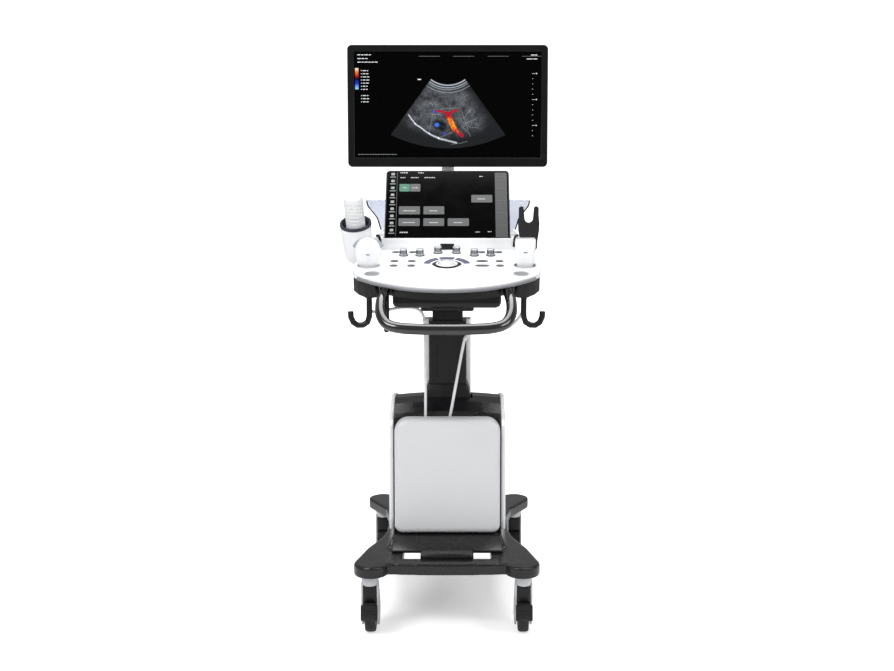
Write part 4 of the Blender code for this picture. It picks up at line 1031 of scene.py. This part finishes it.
def makeCup():
    axis = Vector(joints["bottle_lift_out"]["axis"]).normalized()
    mouth = Vector(cupLook["mouth"])
    cup = lathe("warmer_cup", [(0, -0.112), (0.0250, -0.112), (0.0325, -0.101), (0.0350, -0.080), (0.0368, -0.030),
                               (0.0372, -0.001), (0.0385, 0.0005), (0.0405, 0.0), (0.0415, -0.002), (0.0415, -0.012),
                               (0.0395, -0.070), (0.0375, -0.092), (0.0340,
                                                                    -0.106), (0.0270,
                                                                              -0.1145), (0, -0.115)], mouth, axis)
    add(cup, "console", "white_shell", finishes["white"], "gel_cup")
    ring = lathe("cup_liner", cupLook["liner"], mouth, axis)
    add(ring, "console", "soft_black", finishes["navy"])

    bottle = lathe("gel_bottle_body", [(0, 0.0830), (0.0185, 0.0826), (0.0225, 0.0808), (0.0248, 0.0775),
                                       (0.0255, 0.0730),
                                       (0.0255, 0.0200), (0.0249, 0.0190), (0.0249, 0.0178), (0.0255, 0.0168),
                                       (0.0255, 0.0128), (0.0249, 0.0118), (0.0249, 0.0106), (0.0255, 0.0096),
                                       (0.0255, -0.0470), (0.0235, -0.0580), (0.0120, -0.0680), (0.0105, -0.0700),
                                       (0.0105, -0.0975), (0, -0.0980)], mouth, axis)
    add(bottle, "bottle", "white_shell", finishes["whiteSatin"], "gel_bottle")
    label = lathe("gel_label", [(0.0254, 0.0660), (0.0257, 0.0660), (0.0257, 0.0240), (0.0254, 0.0240),
                                (0.0254, 0.0660)], mouth, axis)
    add(label, "bottle", "white_shell", labelFinish())
    arm = block("cup_arm", (-0.2220, -0.085, 0.995), (-0.2000, -0.030, 1.045), 0.006)
    add(arm, "console", "white_shell", finishes["white"])


def labelFinish():  # a plain label: pale, with a few soft grey bands
    finish, tree, shader = newFinish("gel_label")
    vector = place(tree)
    split = tree.nodes.new("ShaderNodeSeparateXYZ")
    tree.links.new(vector, split.inputs["Vector"])
    waves = calc(tree, "SINE", times(tree, split.outputs["Z"], 700.0))
    bands = spread(tree, waves, 0.0, 1.0, 0.55, 0.95)
    broken = spread(tree, noise(tree, vector, 120.0), 0.0, 1.0, 0.42, 0.58)
    amount = times(tree, bands, broken)
    tree.links.new(mixColour(tree, amount, (0.70, 0.71, 0.71), (0.44, 0.46, 0.45)), shader.inputs["Base Color"])
    tree.links.new(spread(tree, noise(tree, vector, 40.0), 0.35, 0.50), shader.inputs["Roughness"])
    return finish


handleLook = {"radius": 0.0137, "collarRadius": 0.0158, "collarDepth": 0.009}


def makeHandle():
    half = [(0.1480, -0.2395, 0.929), (0.1550, -0.2745, 0.9220), (0.1600, -0.3065, 0.912), (0.1632, -0.3415, 0.894),
            (0.1600, -0.3725, 0.872), (0.1450, -0.3935, 0.853), (0.1150, -0.4055, 0.845), (0.0600, -0.4115, 0.8425)]
    points = [(-x, y, z) for x, y, z in half] + [(0, -0.4130, 0.842)] + list(reversed(half))
    bar = pipe("grip_bar", flow(points, 0.005), handleLook["radius"], 8)
    add(bar, "console", "handle_black", finishes["glossBlack"], "front_handle")
    for side, word in ((-1, "left"), (1, "right")):
        collar = drum(f"grip_collar_{word}", handleLook["collarRadius"], handleLook["collarDepth"],
                      (side * 0.1545, -0.2725, 0.9225), (side * 0.17, -0.95, -0.24), 0.0015)
        add(collar, "console", "black_shell", finishes["charcoal"])


def makeHooks():
    for side, word in ((-1, "left"), (1, "right")):
        bracket = sculpted(f"holder_block_{word}", f"hook_{word}", 0.0016, 5)
        add(bracket, "console", "black_shell", finishes["black"], f"hook_{word}")
        for hole, radius in (((side * 0.206, -0.1725), 0.0292), ((side * 0.192, -0.2445), 0.0212)):
            rim = hoop("holder_rim", radius, 0.0017, onPanel(*hole, 0.0002), panelNormal, 0.8)
            name = "rear" if radius > 0.025 else "front"
            rim.name = f"holder_rim_{name}_{word}"
            add(rim, "console", "grey_trim", finishes["paleGrey"])
            sleeve = lathe(f"holder_sleeve_{name}_{word}", [(radius - 0.0004, 0.0), (radius - 0.0018, 0.0),
                                                            (radius - 0.0018,
                                                             -0.050), (radius - 0.0004,
                                                                       -0.050), (radius - 0.0004, 0.0)],
                           onPanel(*hole, 0.0), panelNormal)
            add(sleeve, "console", "grey_trim", finishes["lens"] if name == "rear" else finishes["paleGrey"])
    lever = sculpted("lever_soft", "release_lever", 0.0008, 3)
    add(lever, "lever", "black_shell", finishes["black"], "release_lever")


def makeFork():
    fork = sculpted("fork_soft", "cable_fork", 0.0010, 6)
    add(fork, "console", "soft_black", finishes["rubber"], "cable_fork")
    screws = [drum("screw", 0.0035, 0.003, (0.219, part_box("cable_fork")[0].y - 0.0005, z), (0, 1, 0), 0.0006,
                   20) for z in (0.976, 0.996)]
    add(joinAll("fork_screws", screws), "console", "grey_metal", finishes["steel"])


makeConsoleTrim()
makeKnobs()
makeTrackball()
makeKeys()
makeCradle()
makeBin()
makeCup()
makeHandle()
makeHooks()
makeFork()
print("console done")


probeLook = {  # the ribbed sleeve where the cable leaves
    "relief": [(0.0078, -0.083), (0.0084, -0.086), (0.0070, -0.089), (0.0074, -0.092), (0.0062, -0.095),
               (0.0066, -0.098), (0.0056, -0.1005), (0.0046, -0.1005), (0.0046, -0.083), (0.0078, -0.083)],
}


def makeProbes():
    for word, node, side in (("left", "probe_convex", -1), ("right", "probe_linear", 1)):
        shell = sculpted(f"probe_shell_{word}", node, 0.0009, 6)
        add(shell, f"probe_{word}", "white_shell", finishes["white"], node)
        axis = Vector(joints[f"probe_{word}_lift_out"]["axis"]).normalized()
        base = onPanel(side * 0.206, -0.1725)
        relief = lathe(f"probe_strain_relief_{word}", probeLook["relief"], base, axis)
        add(relief, f"probe_{word}", "cable_white", finishes["paleGrey"])
        mark = block("mark", (-0.0050, -0.0010, -0.0009), (0.0050, 0.0010, 0.0009), 0.0003)
        height = 0.030 if side < 0 else 0.036
        mark.matrix_world = Matrix.Translation(base + axis * height - Vector((0, 0.0158 if side < 0 else 0.0128,
                                                                              0))) @ panelTurn
        settle(mark)
        mark.name = f"probe_mark_{word}"
        add(mark, f"probe_{word}", "key_grey", finishes["keyTop"])
        if side < 0:
            line = [base + axis * (0.0400 + 0.0330 * math.cos(a)) + Vector((0.0368 * math.sin(a), 0, 0))
                    for a in [math.radians(-72 + 144 * i / 24) for i in range(25)]]
            lens = pipe("convex_lens", line, 0.0058, 6)
            add(lens, "probe_left", "grey_trim", finishes["lens"])
        else:
            lens = block("linear_lens", (-0.0240, -0.0075, 0.0700), (0.0240, 0.0075, 0.0745), 0.003)
            lens.matrix_world = Matrix.Translation(base) @ panelTurn
            settle(lens)
            add(lens, "probe_right", "grey_trim", finishes["lens"])


cableLook = {"diameter": 0.008, "runStep": 0.005, "firstJoin": 3, "secondJoin": 7,  # joins: places along the route
             "clip": [(0.0040, 0.0060), (0.0046, 0.0060), (0.0050, 0.0050)]}


def cableRoutes():
    shift = 0.0905
    left = [(-0.2060, -0.2385, 0.8660), (-0.2025, -0.2320, 0.8530), (-0.1880, -0.2180, 0.8480),
            (-0.1600, -0.2030, 0.8520), (-0.1250, -0.1880, 0.8560), (-0.0930, -0.1740, 0.8540),
            (-0.0720, -0.1630, 0.8420), (-0.0620, -0.1560, 0.8150), (-0.0605, -0.1520, 0.7600),
            (-0.0605, -0.1480, 0.6600), (-0.0605, -0.1475, 0.5500), (-0.0605, -0.1475, 0.5040)]
    right = [(0.2055, -0.2380, 0.8660), (0.2013, -0.2320, 0.8500), (0.1890, -0.2240, 0.8280),
             (0.1670, -0.2130, 0.8080), (0.1350, -0.2000, 0.7995), (0.1000, -0.1900, 0.7960),
             (0.0680, -0.1800, 0.7880), (0.0500, -0.1720, 0.7700), (0.0410, -0.1640, 0.7350),
             (0.0250, -0.1530, 0.6450), (0.0090, -0.1475, 0.5560), (0.0005, -0.1475, 0.5200), (0.0, -0.1475, 0.5042)]
    return {"left": [Vector((x, y + shift, z)) for x, y, z in left],
            "right": [Vector((x, y + shift, z)) for x, y, z in right]}


def makeCables():
    # each cable is three runs, joined under a clip: to the probe, across the console's swivel, and down the lift
    for word, route in cableRoutes().items():
        side = -1 if word == "left" else 1
        axis = Vector(joints[f"probe_{word}_lift_out"]["axis"]).normalized()
        start = onPanel(side * 0.206, -0.1725) - axis * 0.0995
        line = flow([start] + route, cableLook["runStep"])
        firstClip = min(range(len(line)), key=lambda i: (line[i] - route[cableLook["firstJoin"]]).length)
        secondClip = min(range(len(line)), key=lambda i: (line[i] - route[cableLook["secondJoin"]]).length)
        spans = {"probe": (0, firstClip, "console", f"probe_{word}"),
                 "swivel": (firstClip, secondClip, "console", "lift"),
                 "drop": (secondClip, len(line) - 1, "lift", "base")}
        for part, (first, last, bodyA, bodyB) in spans.items():
            points = line[first:last + 1]
            tube = pipe(f"cable_{part}_{word}", points, cableLook["diameter"] / 2, 5)
            tube.data.materials.clear()
            tube.data.materials.append(finishes["cable"])
            if part == "probe":
                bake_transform(tube)
            else:
                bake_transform(tube)
            if part == "drop":
                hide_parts(f"probe_cable_{word}")
        for name, index, body in (("console", firstClip, "console"), ("lift", secondClip, "lift")):
            along = (line[index + 1] - line[index - 1]).normalized()
            clip = lathe(f"cable_clip_{name}_{word}", mirrored(cableLook["clip"]) + cableLook["clip"][:1],
                         line[index], along)
            add(clip, body, "cable_white", finishes["cable"])


makeProbes()
makeCables()
print("probes and cables done")


columnLook = {"halfWidth": 0.0535, "innerHalf": 0.0434, "rearHalf": 0.0670, "rearDepth": 0.0500, "foot": 0.5560,
              "footTop": 0.5960, "footFlare": 0.026, "rearBottom": 0.560, "innerTop": 0.8376, "slack": 0.0006}


def makeColumn():
    low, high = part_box("column_lower")
    front = low.y + 0.010
    outer = block("column_front", (-columnLook["halfWidth"], front, 0.2275),
                  (columnLook["halfWidth"], high.y - columnLook["rearDepth"], high.z))
    roundEdges(outer, lambda a, b: abs(a.z - b.z) > 0.1 and a.y < front + 0.01, 0.008, 5)
    grooves = [block("groove", (x - 0.0012, front - 0.01, 0.640),
                     (x + 0.0012, front + 0.0022, 0.850)) for x in (-0.030, 0.030)]
    cut(outer, joinAll("grooves", grooves))
    innerLow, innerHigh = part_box("column_upper")
    slack = columnLook["slack"]
    cut(outer, block("bore", (innerLow.x - slack, innerLow.y - slack, 0.24),
                     (innerHigh.x + slack, innerHigh.y + slack, 0.9)))
    add(smooth(outer), "base", "column_paint", finishes["black"], "column_lower")
    flare = block("column_foot", (-0.0635, low.y, columnLook["foot"]), (0.0635, low.y + 0.126, columnLook["footTop"]))
    faces(flare, lambda centre, normal: normal.z > 0.9)
    bpy.ops.mesh.extrude_region_move(TRANSFORM_OT_translate={"value": (0, 0, columnLook["footFlare"])})
    bpy.ops.transform.resize(value=(0.855, 0.87, 1))
    bpy.ops.object.mode_set(mode="OBJECT")
    soften(flare, 0.005, 4, 25)
    cut(flare, block("foot_bore", (-0.0455, innerLow.y - 0.002, 0.5), (0.0455, innerHigh.y + 0.002, 0.7)))
    add(smooth(flare), "base", "column_paint", finishes["black"])
    rear = block("column_rear_shell", (-columnLook["rearHalf"], high.y - columnLook["rearDepth"],
                                       columnLook["rearBottom"]),
                 (columnLook["rearHalf"], high.y, high.z - 0.0040))
    roundEdges(rear, lambda a, b: abs(a.z - b.z) > 0.1, 0.010, 5)
    add(smooth(rear), "base", "column_paint", finishes["whiteSatin"])
    upper = block("column_inner", (-columnLook["innerHalf"], innerLow.y, columnLook["rearBottom"]),
                  (columnLook["innerHalf"], innerHigh.y, columnLook["innerTop"]), 0.005, 4)
    add(upper, "lift", "column_paint", finishes["charcoal"], "column_upper")
    low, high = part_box("lift_head")
    head = block("lift_plate", low, high, 0.006, 4)
    add(head, "lift", "column_paint", finishes["black"], "lift_head")


def makeHousing():
    paint("body_shell", finishes["charcoal"])
    for word in ("left", "right"):
        paint(f"side_panel_{word}", finishes["white"])
    paint("rear_cover", finishes["charcoal"])
    paint("port_panel", finishes["black"])
    paint("power_inlet", finishes["black"])
    paint("electronics_module", finishes["silver"])
    for word in ("left", "right"):
        paint(f"probe_connector_{word}", finishes["whiteSatin"])
    low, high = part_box("rear_cover")
    screws = [drum("screw", 0.0045, 0.0030, (x, high.y + 0.0008, z), (0, 1, 0), 0.0008, 20)
              for x in (-0.137, 0.137) for z in (0.245, 0.375, 0.500)]
    add(joinAll("rear_screws", screws), "base", "grey_metal", finishes["steel"])
    recess = block("fan_grille_frame", (0.020, high.y - 0.0002, 0.250), (0.120, high.y + 0.0022, 0.350), 0.001)
    cut(recess, drum("fan_hole", 0.042, 0.05, (0.070, high.y, 0.300), (0, 1, 0)))
    add(recess, "base", "black_shell", finishes["black"])
    rings = [hoop("ring", r, 0.0011, (0.070, high.y + 0.0012, 0.300),
                  (0, 1, 0)) for r in (0.010, 0.018, 0.026, 0.034, 0.041)]
    spokes = [block("spoke", (0.070 - 0.042, high.y + 0.0004, 0.2990), (0.070 + 0.042, high.y + 0.0018, 0.3010)),
              block("spoke", (0.0690, high.y + 0.0004, 0.258), (0.0710, high.y + 0.0018, 0.342))]
    add(joinAll("fan_guard", rings + spokes), "base", "grey_metal", finishes["steel"])
    for side, word in ((-1, "left"), (1, "right")):
        slots = [block("slot", (side * 0.1612, 0.150 + 0.014 * i, 0.300),
                       (side * 0.1612 + side * 0.0008, 0.157 + 0.014 * i, 0.360), 0.0) for i in range(9)]
        add(joinAll(f"side_vent_{word}", slots), "base", "black_shell", finishes["black"])
    pins = []
    low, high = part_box("power_inlet")
    for x, z in ((-0.099, 0.280), (-0.089, 0.280), (-0.094, 0.2745)):
        pins.append(block("pin", (x - 0.001, low.y + 0.003, z - 0.002), (x + 0.001, high.y - 0.001, z + 0.002)))
    add(joinAll("inlet_pins", pins), "base", "grey_metal", finishes["steel"])
    switch = block("mains_switch", (-0.077, high.y - 0.0005, 0.268), (-0.064, high.y + 0.002, 0.292), 0.001)
    add(switch, "base", "black_shell", finishes["black"])


doorLook = {"topCorner": 0.038, "footCorner": 0.022, "frontEdge": 0.020, "wall": 0.0032}


def makeFrontCover():
    low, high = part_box("front_cover")
    cover = block("door", low, high)
    roundEdges(cover, lambda a, b: abs(a.y - b.y) > 0.02 and a.z > 0.5, doorLook["topCorner"], 10)
    roundEdges(cover, lambda a, b: abs(a.y - b.y) > 0.02 and a.z < 0.3, doorLook["footCorner"], 8)
    roundEdges(cover, lambda a, b: a.y < low.y + 0.001 and b.y < low.y + 0.001, doorLook["frontEdge"], 8, 0.6)
    faces(cover, lambda centre, normal: normal.y > 0.9)
    bpy.ops.mesh.delete(type="FACE")
    bpy.ops.object.mode_set(mode="OBJECT")
    modify(cover, "SOLIDIFY", thickness=doorLook["wall"], offset=-1)
    # the cover takes the darkened white finish: painted shade
    add(smooth(cover, 45), "cover", "white_shell", finishes["door"], "front_cover")


makeColumn()
makeHousing()
makeFrontCover()
print("housing done")


baseLook = {"windows": (0.074, 0.112), "slot": (-0.212, -0.172), "deck": 0.2000, "barTop": 0.2120}


def makeBase():
    inner, outer = baseLook["windows"]
    near, far = baseLook["slot"]
    cavity = block("cavity", (-outer - 0.006, near, 0.12), (outer + 0.006, 0.200, baseLook["deck"]), 0.004)
    windows = [block("window", (min(side * inner, side * outer), near, 0.12),
                     (max(side * inner, side * outer), far, 0.30), 0.004)
               for side in (-1, 1)]
    dip = block("bar_dip", (-0.142, -0.45, baseLook["barTop"]), (0.142, far, 0.30), 0.006)
    chassis = sculpted("cast_base", "base_chassis", 0.0032, 10, [cavity, dip] + windows)
    add(chassis, "base", "black_casting", finishes["casting"], "base_chassis")
    tongue = block("footrest_tongue", (-inner + 0.003, near - 0.004, 0.184), (inner - 0.003, far + 0.010, 0.2085),
                   0.006)
    add(tongue, "base", "black_casting", finishes["casting"])
    skirt = block("hump_skirt", (-0.150, far, 0.1960), (0.150, -0.1140, 0.2040))
    edges(skirt, lambda a, b: abs(a.x - b.x) > 0.1 and a.z > 0.20 and a.y > -0.12)
    bpy.ops.transform.translate(value=(0, 0, 0.0222))
    bpy.ops.object.mode_set(mode="OBJECT")
    soften(skirt, 0.003, 4, 15)
    add(smooth(skirt), "base", "black_casting", finishes["casting"])


casterLook = {"hoodRadius": 0.0572, "hoodWidth": 0.0350, "roomRadius": 0.0535, "roomWidth": 0.0290,
              "yokeOffset": 0.0206, "yokeThick": 0.0046, "bossRadius": 0.0150,
              "tread": [(0.0390, 0.0120), (0.0420, 0.0138), (0.0465, 0.0138), (0.0488, 0.0118), (0.0499, 0.0070),
                        (0.0500, 0.0)],
              "disc": [(0, 0.0138), (0.0125, 0.0138), (0.0135, 0.0105), (0.0330, 0.0080), (0.0370, 0.0118),
                       (0.0391, 0.0118)]}


def makeCasters():
    for word in ("front_left", "front_right", "rear_left", "rear_right"):
        stem = Vector(joints[f"caster_swivel_{word}"]["pos_m"])
        hub = Vector(joints[f"wheel_spin_{word}"]["pos_m"])
        collar = lathe(f"caster_collar_{word}", [(0, 0.1652), (0.0205, 0.1652), (0.0225, 0.1630), (0.0225, 0.1450),
                                                 (0.0205, 0.1380), (0.0150,
                                                                    0.1340), (0, 0.1330)], (stem.x, stem.y, 0))
        add(collar, f"caster_{word}", "grey_trim", finishes["paleGrey"])
        hood = drum("hood", casterLook["hoodRadius"], casterLook["hoodWidth"], hub, (1, 0, 0), 0.0, 72)
        cut(hood, drum("inside", casterLook["roomRadius"], casterLook["roomWidth"], hub, (1, 0, 0), 0.0, 72))
        cut(hood, block("below", (hub.x - 0.1, hub.y - 0.1, -0.05), (hub.x + 0.1, hub.y + 0.1, hub.z + 0.004)))
        cut(hood, block("behind", (hub.x - 0.1, hub.y + 0.034, -0.05), (hub.x + 0.1, hub.y + 0.1, hub.z + 0.1)))
        soften(hood, 0.0010, 2, 50)
        bosses = [drum("boss", casterLook["bossRadius"], 0.0028, (hub.x + side * 0.0161, hub.y, hub.z), (1, 0, 0),
                       0.0006) for side in (-1, 1)]
        neck = block("neck", (stem.x - 0.0176, stem.y - 0.0200, 0.0940), (stem.x + 0.0176, stem.y + 0.0200, 0.1390),
                     0.007, 4)
        cut(neck, drum("wheel_room", casterLook["roomRadius"], casterLook["roomWidth"], hub, (1, 0, 0), 0.0, 72))
        fork = smooth(joinAll(f"caster_hood_{word}", [hood, neck] + bosses), 30)
        add(fork, f"caster_{word}", "black_shell", finishes["black"], f"caster_fork_{word}")

        tread = lathe(f"wheel_tread_{word}", mirrored(casterLook["tread"]) + casterLook["tread"][:1], hub, (1, 0, 0),
                      96)
        add(tread, f"wheel_{word}", "tyre_black", finishes["tread"], f"caster_wheel_{word}")
        disc = lathe(f"wheel_disc_{word}", mirrored(casterLook["disc"]), hub, (1, 0, 0), 72)
        add(disc, f"wheel_{word}", "grey_trim", finishes["paleGrey"])
        yokes = []
        for side in (-1, 1):
            lower = drum("lower", 0.0350, casterLook["yokeThick"], (hub.x + side * casterLook["yokeOffset"], hub.y,
                                                                    hub.z + 0.004), (1, 0, 0), 0.0, 48)
            upper = drum("upper", 0.0150, casterLook["yokeThick"], (hub.x + side * casterLook["yokeOffset"], stem.y,
                                                                    0.1290), (1, 0, 0), 0.0, 48)
            yoke = joinAll("yoke", [lower, upper])
            bpy.ops.object.mode_set(mode="EDIT")
            bpy.ops.mesh.select_all(action="SELECT")
            bpy.ops.mesh.convex_hull()
            bpy.ops.object.mode_set(mode="OBJECT")
            soften(yoke, 0.0014, 3, 50)
            yokes += [smooth(yoke), lathe("cap", [(0, 0.0250), (0.0080, 0.0246), (0.0100, 0.0228), (0, 0.0226)], hub,
                                          (side, 0, 0), 40)]
        add(joinAll(f"caster_yoke_{word}", yokes), f"caster_{word}", "grey_trim", finishes["paleGrey"])
        if word.startswith("front"):
            low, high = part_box(f"brake_pedal_{word}")
            pedal = sculpted(f"pedal_soft_{word}", f"brake_pedal_{word}", 0.0009, 4)
            add(pedal, f"pedal_{word}", "black_shell", finishes["black"], f"brake_pedal_{word}")
            ribs = [block("rib", (low.x + 0.004, low.y - 0.0008, z), (high.x - 0.004, low.y + 0.004, z + 0.0022),
                          0.0006) for z in (0.066, 0.0715, 0.077)]
            add(joinAll(f"pedal_ribs_{word}", ribs), f"pedal_{word}", "black_shell", finishes["charcoal"])


makeBase()
makeCasters()
print("base done")

print("all done")
